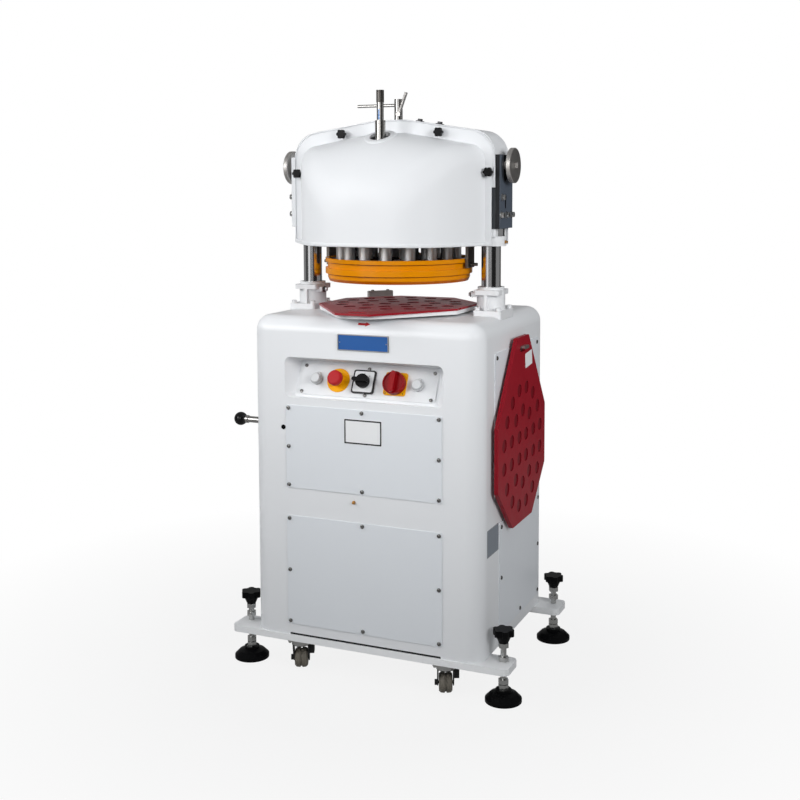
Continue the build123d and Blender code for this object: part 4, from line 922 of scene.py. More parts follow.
def facing(origin: Vector, normal: Sequence[float], up: Sequence[float]) -> Matrix:
    """Gives the place of a piece that stands on a surface.

    Args:
        origin: Where it stands.
        normal: Which way it stands out, its own Z.
        up: Roughly its own Y.

    Returns:
        The placing matrix.
    """
    out = Vector(normal).normalized()
    right = Vector(up).cross(out).normalized()
    top = out.cross(right)
    turn = Matrix((right, top, out)).transposed().to_4x4()
    return Matrix.Translation(origin) @ turn


def on_side(side: Side, x: float, y: float, z: float) -> Matrix:
    """Gives the place of a piece on a level or upright surface.

    Args:
        side: Which side of the object it stands on.
        x: Where it stands, across.
        y: Where it stands, in depth.
        z: Where it stands, in height.

    Returns:
        The placing matrix.
    """
    return facing(Vector((x, y, z)), *side.value)


def rounded(corners: Sequence[tuple[Vector, float]], steps: int = 10) -> list[Vector]:
    """Gives an open path with its inner corners rounded.

    Args:
        corners: The path's corners and the radius at each; those of both ends aren't used.
        steps: Into how many parts each rounding is cut.

    Returns:
        The points of the path.
    """
    path = [corners[0][0]]
    for (before, _), (here, radius), (after, _) in zip(corners, corners[1:], corners[2:]):
        back, ahead = (before - here).normalized(), (after - here).normalized()
        half = back.angle(ahead) / 2
        centre = here + (back + ahead).normalized() * radius / sin(half)
        start = (here + back * radius / tan(half) - centre).normalized()
        end = (here + ahead * radius / tan(half) - centre).normalized()
        path += [centre + start.slerp(end, step / steps) * radius for step in range(steps + 1)]
    return path + [corners[-1][0]]


def headings(path: Sequence[Vector]) -> list[Vector]:
    """Gives the direction of a path at each of its points.

    Args:
        path: The points.

    Returns:
        One unit vector for each.
    """
    ends = zip([path[0], *path[:-1]], [*path[1:], path[-1]])
    return [(after - before).normalized() for before, after in ends]


class Caps(Enum):
    """Which ends of a stack of rings are closed."""

    BOTH = (True, True)
    FIRST = (True, False)
    LAST = (False, True)
    NONE = (False, False)


class Shaper:
    """Collects stacked rings in one mesh, and makes a piece of them."""

    def __init__(self, place: Optional[Matrix] = None) -> None:
        """Starts an empty mesh, whose parts go to a place, or else to the frame's origin."""
        self.mesh = bmesh.new()
        self.place = place or Matrix.Identity(4)

    def stack(self, rings: Sequence[Ring], paint: int = 0, caps: Caps = Caps.BOTH) -> None:
        """Skins rings of equal counts, from the first to the last.

        Args:
            rings: The rings.
            paint: Which of the piece's finishes it takes.
            caps: Which ends are closed.
        """
        rows = [[self.mesh.verts.new(self.place @ point) for point in ring] for ring in rings]
        faces = []
        for low, high in zip(rows, rows[1:]):
            for here in range(len(low)):
                after = (here + 1) % len(low)
                faces.append(self.mesh.faces.new((low[here], low[after], high[after], high[here])))
        close_first, close_last = caps.value
        if close_first:
            faces.append(self.mesh.faces.new(list(reversed(rows[0]))))
        if close_last:
            faces.append(self.mesh.faces.new(rows[-1]))
        for face in faces:
            face.material_index = paint

    def piece(
        self, name: str, finishes: Union[Finish, Sequence[Finish]], body: Body, slot: str, sharp: float = 32.0
    ) -> None:
        """Makes a piece that rides on a body.

        Args:
            name: The piece's name.
            finishes: Its finish, or several in the order of their numbers.
            body: The body that carries it.
            slot: The record's material slot it belongs to; not used.
            sharp: Edges that turn more than these degrees stay sharp.
        """
        bmesh.ops.remove_doubles(self.mesh, verts=self.mesh.verts, dist=1e-7)
        bmesh.ops.recalc_face_normals(self.mesh, faces=self.mesh.faces)
        data = bpy.data.meshes.new(name)
        self.mesh.to_mesh(data)
        self.mesh.free()
        for finish in [finishes] if isinstance(finishes, Finish) else finishes:
            data.materials.append(finish.material())
        data.shade_smooth()
        data.set_sharp_from_angle(angle=radians(sharp))
        made = bpy.data.objects.new(name, data)
        bpy.context.scene.collection.objects.link(made)
        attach(made, body.value)
        LOG.info("piece %s on %s", name, body.value)


def paint_nodes(finish: Finish, *names: str) -> None:
    """Gives CAD nodes a finish.

    Args:
        finish: The finish.
        *names: The nodes.
    """
    made = finish.material()
    for name in names:
        node = frame["nodes"][name]
        if not node.material_slots:
            node.data.materials.append(made)
        for slot in node.material_slots:
            slot.material = made
        LOG.info("node %s in %s", name, finish.name)


@dataclass(frozen=True)
class Fastener:
    """Small piece that is added to a mesh as stacked rings."""

    count: int = 24

    def ring(self, radius: float, level: float) -> Ring:
        """Gives a round ring."""
        return circle(radius, level, self.count)

    def flat_ring(self, flats: float, level: float) -> Ring:
        """Gives a ring with six flat sides."""
        return hexagon(flats, level, self.count)

    def stacks(self) -> list[list[Ring]]:
        """Gives the stacks of rings, from the surface outwards."""
        raise NotImplementedError

    def add(self, shaper: Shaper, place: Matrix) -> None:
        """Adds the fastener to a mesh.

        Args:
            shaper: The mesh.
            place: Where it sits, with its own Z out of the surface.
        """
        shaper.place = place
        for rings in self.stacks():
            shaper.stack(rings)


@dataclass(frozen=True)
class DomedScrew(Fastener):
    """Button head screw with a hexagon socket."""

    radius: float = 5.2 * MM
    height: float = 2.9 * MM
    rim: float = 0.7 * MM
    flat_share: float = 0.5
    socket: float = 3.4 * MM
    depth: float = 1.7 * MM
    steps: int = 5

    def stacks(self) -> list[list[Ring]]:
        """Gives the head's rings.

        Returns:
            One stack, from the rim to the bottom of the socket.
        """
        rings = [self.ring(self.radius, 0.0), self.ring(self.radius, self.rim)]
        flat = self.flat_share * self.radius
        for step in range(1, self.steps + 1):
            turn = pi / 2 * step / self.steps
            reach = flat + (self.radius - flat) * cos(turn)
            rings.append(self.ring(reach, self.rim + (self.height - self.rim) * sin(turn)))
        for level in (self.height, self.height - self.depth):
            rings.append(self.flat_ring(self.socket, level))
        return [rings]


@dataclass(frozen=True)
class HexBolt(Fastener):
    """Hexagon bolt head on a washer, with a chamfered top."""

    flats: float = 13 * MM
    height: float = 6 * MM
    washer_radius: float = 9.5 * MM
    washer: float = 1.6 * MM
    washer_edge: float = 0.3 * MM
    bore_share: float = 0.3
    corner_drop: float = 1.2 * MM
    chamfer_drop: float = 0.4 * MM
    top_share: float = 0.44

    def stacks(self) -> list[list[Ring]]:
        """Gives the rings of the washer and of the head.

        Returns:
            One stack for each.
        """
        washer = [
            self.ring(self.washer_radius, 0.0),
            self.ring(self.washer_radius, self.washer - self.washer_edge),
            self.ring(self.washer_radius - self.washer_edge, self.washer),
            self.ring(self.flats * self.bore_share, self.washer),
        ]
        top = self.washer + self.height
        head = [
            self.flat_ring(self.flats, self.washer),
            self.flat_ring(self.flats, top - self.corner_drop),
            self.ring(self.flats / 2, top - self.chamfer_drop),
            self.ring(self.flats * self.top_share, top),
        ]
        return [washer, head]


@dataclass(frozen=True)
class SocketBolt(Fastener):
    """Cap head bolt with a hexagon socket."""

    radius: float = 6.5 * MM
    height: float = 8 * MM
    edge: float = 0.6 * MM
    socket: float = 6 * MM
    mouth_share: float = 0.62
    mouth_drop: float = 0.4 * MM
    depth: float = 4 * MM

    def stacks(self) -> list[list[Ring]]:
        """Gives the head's rings.

        Returns:
            One stack, from the foot to the bottom of the socket.
        """
        rings = [
            self.ring(self.radius, 0.0),
            self.ring(self.radius, self.height - self.edge),
            self.ring(self.radius - self.edge, self.height),
            self.ring(self.socket * self.mouth_share, self.height),
            self.flat_ring(self.socket, self.height - self.mouth_drop),
            self.flat_ring(self.socket, self.height - self.depth),
        ]
        return [rings]


@dataclass(frozen=True)
class Nipple(Fastener):
    """Grease nipple: a hexagon foot with a turned tip."""

    tip: Section = ()
    foot: float = 0.0
    flats: float = 8 * MM
    shoulder: float = 3 * MM

    def stacks(self) -> list[list[Ring]]:
        """Gives one stack of rings, from the foot to the tip."""
        rings = [self.flat_ring(self.flats, level) for level in (self.foot, self.shoulder)]
        return [rings + turned_rings(self.tip, self.count)]


def span(node: str, axis: Axis) -> tuple[float, float]:
    """Gives a node's extent along an axis.

    Args:
        node: The node.
        axis: The axis.

    Returns:
        The lowest and the highest coordinate.
    """
    low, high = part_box(node)
    return low[axis.value], high[axis.value]


def middle(node: str, axis: Axis) -> float:
    """Gives the middle of a node along an axis.

    Args:
        node: The node.
        axis: The axis.

    Returns:
        The coordinate half way.
    """
    low, high = span(node, axis)
    return (low + high) / 2


def stations(node: str, axis: Axis, inset: float) -> tuple[float, float, float]:
    """Gives three places along a node.

    Args:
        node: The node.
        axis: The axis.
        inset: How far the outer places lie inside its ends.

    Returns:
        The first, the middle and the last place.
    """
    low, high = span(node, axis)
    return low + inset, (low + high) / 2, high - inset


def joint(name: str) -> dict:
    """Gives a joint of the record by its name.

    Args:
        name: The joint.

    Returns:
        Its entry.
    """
    return next(entry for entry in frame["joints"] if entry["name"] == name)


@dataclass
class Cabinet:
    """Painted cabinet with its covers, screws, plates and deck arrow."""

    front_covers: tuple[str, ...] = ("upper_front_cover", "lower_front_cover")
    side_covers: tuple[str, ...] = ("right_upper_cover", "right_lower_cover")
    screw: DomedScrew = DomedScrew()
    front_inset: float = 7.4 * MM
    side_inset: float = 12 * MM
    rear_rows: int = 4
    ball_reach: float = 34 * MM
    top_radius: float = 38 * MM
    blue_width: float = 135 * MM
    blue_height: float = 40 * MM
    blue_x: float = 4.3 * MM
    blue_z: float = 843.5 * MM
    blue_rim: PlateProfile = ((0, 2, 0), (0, 2, 2), (0.4, 1.8, 2.5), (2.2, 1.4, 2.5), (2.5, 1.2, 1.5))
    blue_field: PlateProfile = ((2.5, 1.2, 1.5), (6, 1, 1.5))
    pin: Section = ((1.5, 1.5), (1.5, 2.0), (0.7, 2.5))
    pin_count: int = 12
    pin_inset: float = 6 * MM
    notice_size: tuple[float, float] = (101 * MM, 62 * MM)
    notice_x: float = 3 * MM
    notice_z: float = 627.5 * MM
    notice_line: float = 3.6 * MM
    data_size: tuple[float, float] = (82 * MM, 66 * MM)
    data_y: float = -148.5 * MM
    data_z: float = 374 * MM
    data_line: float = 0.8 * MM
    arrow_x: float = 7 * MM
    arrow_z: float = 888 * MM
    arrow_shaft: float = 20 * MM
    arrow_head: float = 12 * MM
    arrow_half: float = 6.4 * MM
    arrow_rows: int = 8
    arrow_levels: tuple[float, float] = (0.02 * MM, 0.27 * MM)
    nipple_x: float = -22.5 * MM
    nipple_z: float = 453 * MM
    nipple: Nipple = Nipple(tip=((2.6, 3.4), (2.0, 5), (2.9, 6.4), (2.3, 8), (0.8, 8.4)))
    plug: DomedScrew = DomedScrew(radius=6 * MM, height=1.2 * MM, socket=4.5 * MM, depth=1 * MM)
    plug_x: float = -215 * MM
    plug_z: float = 624 * MM
    toe_width: float = 405 * MM
    toe_height: float = 4.8 * MM
    toe_corner: float = 0.5 * MM
    toe_inset: float = 0.6 * MM
    toe_depth: float = 3 * MM

    def paint(self) -> None:
        """Gives the cabinet's CAD nodes their finishes."""
        ball_end = span("adjust_lever", Axis.X)[0] + self.ball_reach
        lever = Banded(
            "lever_steel",
            STEEL,
            roughness=0.2,
            axis=Axis.X,
            metallic=1.0,
            bands=(Band(BELOW, ball_end, BLACK, roughness=0.16),),
        )
        paint_nodes(SHELL_PAINT, "cabinet_shell")
        paint_nodes(COVER_PAINT, *self.front_covers, *self.side_covers, "rear_cover")
        paint_nodes(lever, "adjust_lever")

    def cover_screws(self, node: str, places: Sequence[Matrix]) -> None:
        """Makes the screws that hold a cover.

        Args:
            node: The cover.
            places: Where its screws sit.
        """
        shaper = Shaper()
        for place in places:
            self.screw.add(shaper, place)
        shaper.piece(node + "_screws", SCREW_STEEL, Body.CABINET, "bright_steel")

    def screws(self) -> None:
        """Makes the screws of all the covers."""
        for node in self.front_covers:
            face = span(node, Axis.Y)[0]
            xs, zs = (stations(node, axis, self.front_inset) for axis in (Axis.X, Axis.Z))
            spots = [(x, z) for x in xs for z in zs if (x, z) != (xs[1], zs[1])]
            self.cover_screws(node, [on_side(Side.FRONT, x, face, z) for x, z in spots])
        for node in self.side_covers:
            face = span(node, Axis.X)[1]
            ys, zs = (stations(node, axis, self.side_inset) for axis in (Axis.Y, Axis.Z))
            spots = [(y, z) for y in (ys[0], ys[2]) for z in zs] + [(ys[1], zs[0])]
            self.cover_screws(node, [on_side(Side.RIGHT, face, y, z) for y, z in spots])
        left, _, right = stations("rear_cover", Axis.X, self.side_inset)
        foot, _, top = stations("rear_cover", Axis.Z, self.side_inset)
        face = span("rear_cover", Axis.Y)[1]
        rows = [foot + (top - foot) * row / (self.rear_rows - 1) for row in range(self.rear_rows)]
        self.cover_screws("rear_cover", [on_side(Side.REAR, x, face, z) for z in rows for x in (left, right)])

    def blue_plate(self) -> None:
        """Makes the bare blue plate with its raised silver rim and two pins."""
        front = span("cabinet_shell", Axis.Y)[0]
        place = on_side(Side.FRONT, self.blue_x, front, self.blue_z)
        shaper = Shaper(place)
        shaper.stack(plate_rings(self.blue_width, self.blue_height, self.blue_rim), caps=Caps.FIRST)
        field = plate_rings(self.blue_width, self.blue_height, self.blue_field)
        shaper.stack(field, paint=1, caps=Caps.LAST)
        reach = self.blue_width / 2 - self.pin_inset
        for side in (-1, 1):
            shaper.place = place @ Matrix.Translation((side * reach, 0, 0))
            shaper.stack(turned_rings(self.pin, self.pin_count))
        shaper.piece("blue_plate", [PLATE_SILVER, PLATE_BLUE], Body.CABINET, "bright_steel")

    def bordered_plate(
        self, name: str, place: Matrix, size: tuple[float, float], line: float, finishes: Sequence[Finish]
    ) -> None:
        """Makes a thin bare plate with a printed border line.

        Args:
            name: The piece's name.
            place: Where its middle lies.
            size: Its width and height.
            line: How wide the line is.
            finishes: Those of the field and of the line.
        """
        margin, thickness = 1.2, 0.5
        inner = margin + line / MM
        rings = plate_rings(
            *size,
            (
                (0, 2, 0),
                (0, 2, thickness),
                (margin, 1.6, thickness),
                (inner, 1.2, thickness),
                (2 * inner, 1, thickness),
            ),
        )
        shaper = Shaper(place)
        shaper.stack(rings[:3], caps=Caps.FIRST)
        shaper.stack(rings[2:4], paint=1, caps=Caps.NONE)
        shaper.stack(rings[3:], caps=Caps.LAST)
        shaper.piece(name, finishes, Body.CABINET, "white_plastic")

    def plates(self) -> None:
        """Makes the bare plates on the upper cover and on the right side."""
        front = span("upper_front_cover", Axis.Y)[0]
        notice = on_side(Side.FRONT, self.notice_x, front, self.notice_z)
        notice_finishes = [LABEL_WHITE, LABEL_INK]
        self.bordered_plate("notice_plate", notice, self.notice_size, self.notice_line, notice_finishes)
        side = span("cabinet_shell", Axis.X)[1]
        data = on_side(Side.RIGHT, side, self.data_y, self.data_z)
        data_finishes = [LABEL_GREY, PLATE_SILVER]
        self.bordered_plate("data_plate", data, self.data_size, self.data_line, data_finishes)

    def arrow(self) -> None:
        """Makes the red arrow that shows how the table goes, laid on the rounded front edge of the deck."""
        centre_y = span("cabinet_shell", Axis.Y)[0] + self.top_radius
        centre_z = span("cabinet_shell", Axis.Z)[1] - self.top_radius
        tilt = asin((self.arrow_z - centre_z) / self.top_radius)
        half = self.arrow_half

        def spot(u: float, v: float, lift: float) -> Vector:
            """Lays a flat point on the rounded edge.

            Args:
                u: Along the edge.
                v: Up the rounding.
                lift: Out of the surface.

            Returns:
                The point in the frame.
            """
            turn = tilt + v / self.top_radius
            reach = self.top_radius + lift
            return Vector((self.arrow_x + u, centre_y - reach * cos(turn), centre_z + reach * sin(turn)))

        def tip(v: float) -> float:
            """Gives how far the arrow's head reaches at a height."""
            return self.arrow_head * (1 - abs(v) / half)

        shaper = Shaper()
        rows = [-half + 2 * half * row / self.arrow_rows for row in range(self.arrow_rows + 1)]
        for lower, upper in zip(rows, rows[1:]):
            in_shaft = max(abs(lower), abs(upper)) <= half / 2 + 1e-6
            back = -self.arrow_shaft if in_shaft else 0.0
            corners = ((back, lower), (tip(lower), lower), (tip(upper), upper), (back, upper))
            shaper.stack([[spot(u, v, level) for u, v in corners] for level in self.arrow_levels])
        shaper.piece("deck_arrow", ARROW_RED, Body.CABINET, "red_plastic")

    def fittings(self) -> None:
        """Makes the brass grease nipple and the dark screw plug of the front."""
        front = span("cabinet_shell", Axis.Y)[0]
        nipple, plug = Shaper(), Shaper()
        self.nipple.add(nipple, on_side(Side.FRONT, self.nipple_x, front, self.nipple_z))
        nipple.piece("front_nipple", BRASS, Body.CABINET, "bright_steel")
        self.plug.add(plug, on_side(Side.FRONT, self.plug_x, front, self.plug_z))
        plug.piece("front_plug", BLACK_PLASTIC, Body.CABINET, "black_plastic")

    def toe_shade_strip(self) -> None:
        """Makes a dark strip in the slot along the foot of the front, as painted shade in the slot."""
        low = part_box("cabinet_shell")[0]
        back = low.y + self.toe_inset + self.toe_depth
        shaper = Shaper(on_side(Side.FRONT, 0.0, back, low.z + self.toe_height / 2))
        levels = (0.0, self.toe_depth)
        shaper.stack([panel_ring(self.toe_width, self.toe_height, self.toe_corner, z) for z in levels])
        shaper.piece("toe_shade_strip", LABEL_INK, Body.CABINET, "black_plastic")

    def build(self) -> None:
        """Paints the cabinet and adds its small pieces."""
        self.paint()
        self.screws()
        self.blue_plate()
        self.plates()
        self.arrow()
        self.toe_shade_strip()
        self.fittings()


@dataclass
class Controls:
    """Sloping panel with its push-buttons, emergency stop, selector and main switch."""

    panel_thickness: float = 2 * MM
    screw: DomedScrew = DomedScrew(radius=4.6 * MM)
    screw_u: float = 172 * MM
    screw_v: float = 33 * MM
    plate_size: float = 57 * MM
    bezel_margin: float = 2 * MM
    lug_size: tuple[float, float] = (7 * MM, 5 * MM)
    lug_profile: PlateProfile = ((0, 1, 0), (0, 1, 7), (0.5, 1, 8))
    lug_u: float = 4 * MM
    lug_v: float = 15 * MM
    frame_size: float = 58.6 * MM
    frame_profile: PlateProfile = ((0, 6, 0.1), (0, 6, 5.2), (0.6, 5.4, 5.8), (3.2, 4, 5.8), (3.7, 4, 5.05))
    selector_plate: float = 5 * MM
    mark_reach: float = 20 * MM
    mark_turns: tuple[float, ...] = (45, 90, 135)
    mark_size: tuple[float, float] = (1.2 * MM, 4 * MM)
    mark_profile: PlateProfile = ((0, 0.4, 0.02), (0, 0.4, 0.2))
    line_size: tuple[float, float] = (18 * MM, 1.6 * MM)
    line_profile: PlateProfile = ((0, 0.6, -0.28), (0, 0.6, 0.17))
    main_top: float = 17.3 * MM
    rim_profile: Section = ((28, -0.4), (28, 1.6), (27, 2.6), (24.8, 2.6), (24, 1.8), (24, -0.4))
    rim_count: int = 48
    main_plate: float = 4 * MM
    sign_inset: float = 5 * MM
    zero_profile: Section = ((2.6, 0.02), (2.6, 0.2), (1.6, 0.2), (1.6, 0.02))
    zero_count: int = 20
    one_size: tuple[float, float] = (1.2 * MM, 5.2 * MM)
    one_profile: PlateProfile = ((0, 0.3, 0.02), (0, 0.3, 0.2))

    def plane(self, u: float = 0.0, v: float = 0.0, out: float = 0.0) -> Matrix:
        """Gives a place on the panel's face.

        Args:
            u: Along the panel, from its middle.
            v: Up the panel, from its middle.
            out: Out of its face.

        Returns:
            The place, with its own Z out of the panel.
        """
        normal = -Vector(joint("left_button_press")["axis"])
        low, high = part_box("control_panel")
        centre = (low + high) / 2 + normal * self.panel_thickness / 2
        return facing(centre, normal, (0, 0, 1)) @ Matrix.Translation((u, v, out))

    def paint(self) -> None:
        """Gives the controls' CAD nodes their finishes."""
        half = self.plate_size / 2 + self.bezel_margin
        bands = [
            Band(middle(node, Axis.X) - half, middle(node, Axis.X) + half, colour, roughness)
            for node, colour, roughness in (
                ("emergency_stop", YELLOW, 0.42),
                ("selector_knob", SELECTOR_GREY, 0.4),
                ("main_switch_knob", YELLOW, 0.42),
            )
        ]
        bezels = Banded(
            "bezel_plastics",
            BEZEL_GREY,
            roughness=0.4,
            axis=Axis.X,
            specular=0.15,
            bands=tuple(bands),
            wear=0.0,
        )
        paint_nodes(PANEL_PAINT, "control_panel")
        paint_nodes(bezels, "control_bezels")
        paint_nodes(WHITE_PLASTIC, "left_button", "right_button")
        paint_nodes(STOP_RED, "emergency_stop")
        paint_nodes(BLACK_PLASTIC, "selector_knob")
        paint_nodes(RED_PLASTIC, "main_switch_knob")

    def screws(self) -> None:
        """Makes the six screws of the panel."""
        shaper = Shaper()
        for u in (-self.screw_u, 0.0, self.screw_u):
            for v in (-self.screw_v, self.screw_v):
                self.screw.add(shaper, self.plane(u, v))
        shaper.piece("panel_screws", SCREW_STEEL, Body.CABINET, "bright_steel")

    def button_lugs(self) -> None:
        """Makes the small lug on the rim of each push-button's ring."""
        shaper = Shaper()
        for node in ("left_button", "right_button"):
            shaper.place = self.plane(middle(node, Axis.X) + self.lug_u, self.lug_v)
            shaper.stack(plate_rings(*self.lug_size, self.lug_profile))
        shaper.piece("button_lugs", WHITE_PLASTIC, Body.CABINET, "white_plastic")

    def selector_frame(self) -> None:
        """Makes the black frame round the selector's plate, and the plain marks on the plate."""
        x = middle("selector_knob", Axis.X)
        shaper = Shaper(self.plane(x))
        shaper.stack(plate_rings(self.frame_size, self.frame_size, self.frame_profile), caps=Caps.NONE)
        for turn in self.mark_turns:
            u, v = self.mark_reach * cos(radians(turn)), self.mark_reach * sin(radians(turn))
            shaper.place = self.plane(x + u, v, self.selector_plate)
            shaper.stack(plate_rings(*self.mark_size, self.mark_profile))
        shaper.piece("selector_frame", LABEL_INK, Body.CABINET, "black_plastic")

    def selector_pointer(self) -> None:
        """Makes the white line on the selector's grip."""
        grip_top = (self.plane().inverted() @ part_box("selector_knob")[1]).z
        shaper = Shaper(self.plane(middle("selector_knob", Axis.X), 0.0, grip_top))
        shaper.stack(plate_rings(*self.line_size, self.line_profile))
        shaper.piece("selector_pointer", LABEL_WHITE, Body.SELECTOR, "white_plastic")

    def main_rim(self) -> None:
        """Makes the raised rim of the main switch's handle."""
        shaper = Shaper(self.plane(middle("main_switch_knob", Axis.X), 0.0, self.main_top))
        shaper.stack(turned_rings(self.rim_profile, self.rim_count), caps=Caps.NONE)
        shaper.piece("main_switch_rim", RED_PLASTIC, Body.MAIN_SWITCH, "red_plastic")

    def main_marks(self) -> None:
        """Makes a 0 and a 1 in the lower corners of the main switch's plate."""
        x = middle("main_switch_knob", Axis.X)
        inset = self.plate_size / 2 - self.sign_inset
        shaper = Shaper(self.plane(x - inset, -inset, self.main_plate))
        shaper.stack(turned_rings(self.zero_profile, self.zero_count), caps=Caps.NONE)
        shaper.place = self.plane(x + inset, -inset, self.main_plate)
        shaper.stack(plate_rings(*self.one_size, self.one_profile))
        shaper.piece("main_switch_marks", LABEL_INK, Body.CABINET, "black_plastic")

    def build(self) -> None:
        """Paints the controls and adds their small pieces."""
        self.paint()
        self.screws()
        self.button_lugs()
        self.selector_frame()
        self.selector_pointer()
        self.main_rim()
        self.main_marks()


@dataclass
class Undercarriage:
    """Base bars, levelling feet and castors."""

    corners: tuple[str, ...] = ("front_left", "front_right", "rear_left", "rear_right")
    castor_plate: float = 4 * MM
    castor_cup: float = 22 * MM
    bolt: HexBolt = HexBolt(flats=7 * MM, height=3.2 * MM, washer_radius=4.4 * MM, washer=0.8 * MM)
    bolt_offset: float = 20.5 * MM
    pad_height: float = 30 * MM
    spindle_length: float = 112 * MM
    thread_pitch: float = 2 * MM

    def paint(self) -> None:
        """Gives the undercarriage's CAD nodes their finishes."""
        bar_top = span("cabinet_shell", Axis.Z)[0]
        bar_bottom = span("base_bars", Axis.Z)[0] + self.castor_plate
        bars = Banded(
            "bar_paint",
            BAR_WHITE,
            roughness=0.36,
            bands=(
                Band(BELOW, bar_bottom, ZINC, roughness=0.3, metallic=1.0),
                Band(bar_top, ABOVE, ZINC, roughness=0.25, metallic=1.0),
            ),
            flow=0.03,
            wear=0.0,
        )
        spindle = (self.pad_height, self.pad_height + self.spindle_length)
        feet = Banded(
            "foot_finish",
            BLACK,
            roughness=0.34,
            bands=(Band(*spindle, ZINC, roughness=0.24, metallic=1.0),),
            wear=0.0,
            specular=0.07,
            thread_pitch=self.thread_pitch,
            thread_span=spindle,
        )
        cup = span("castor_fork_front_left", Axis.Z)[1] - self.castor_cup
        forks = Banded(
            "fork_steel",
            FORK_BLACK,
            roughness=0.34,
            bands=(Band(cup, ABOVE, ZINC, roughness=0.3, metallic=1.0),),
        )
        paint_nodes(bars, "base_bars")
        for finish, start in ((feet, "foot_"), (forks, "castor_fork_"), (GREY_RUBBER, "castor_wheel_")):
            paint_nodes(finish, *[start + corner for corner in self.corners])

    def castor_bolts(self) -> None:
        """Makes the bolt heads under the castor plates."""
        shaper = Shaper()
        level = span("base_bars", Axis.Z)[0]
        offsets = (-self.bolt_offset, self.bolt_offset)
        for corner in self.corners:
            x, y = joint("castor_swivel_" + corner)["pos_m"][:2]
            for dx in offsets:
                for dy in offsets:
                    self.bolt.add(shaper, on_side(Side.UNDER, x + dx, y + dy, level))
        shaper.piece("castor_bolts", ZINC_PLATE, Body.CABINET, "bright_steel")

    def build(self) -> None:
        """Paints the undercarriage and adds its bolts."""
        self.paint()
        self.castor_bolts()


@dataclass
class Guides:
    """Column guides on the deck with their bolts."""

    base_offset: float = 6 * MM
    base_height: float = 13 * MM
    bolt: SocketBolt = SocketBolt()
    bolt_x: float = 27 * MM
    bolt_y: float = 42 * MM
    ear_y: float = -18 * MM
    ear_z: float = 50 * MM
    nut: HexBolt = HexBolt(flats=14 * MM, height=4 * MM, washer_radius=8 * MM, washer=1.2 * MM)
    nut_x: float = 42 * MM

    def build(self) -> None:
        """Paints the guides and adds their bolts and ear nuts."""
        paint_nodes(CASTING_PAINT, "guide_housings")
        paint_nodes(ROD_STEEL, "guide_bushes")
        paint_nodes(CHROME, "columns")
        low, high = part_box("columns")
        column_radius = (high.y - low.y) / 2
        column_x = high.x - column_radius
        column_y = (low.y + high.y) / 2
        deck = span("cabinet_shell", Axis.Z)[1]
        base_top = deck + self.base_height
        bolts, nuts = Shaper(), Shaper()
        for side, inner in ((-1, Side.RIGHT), (1, Side.LEFT)):
            base_x = side * (column_x + self.base_offset)
            for dx in (-self.bolt_x, self.bolt_x):
                for dy in (-self.bolt_y, self.bolt_y):
                    self.bolt.add(bolts, on_side(Side.TOP, base_x + dx, column_y + dy, base_top))
            nut_x = side * (column_x - self.nut_x)
            self.nut.add(nuts, on_side(inner, nut_x, column_y + self.ear_y, deck + self.ear_z))
        bolts.piece("guide_bolts", CASTING_PAINT, Body.CABINET, "white_cast")
        nuts.piece("ear_nuts", DARK_STEEL, Body.CABINET, "dark_steel")


@dataclass(frozen=True)
class PlateLook:
    """How a moulding plate's pockets open, how its resin looks that way, and the painted shade of its
    pockets.
    """

    node: str
    axis: Axis
    roughness: float
    specular: float
    pocket_shade: Colour


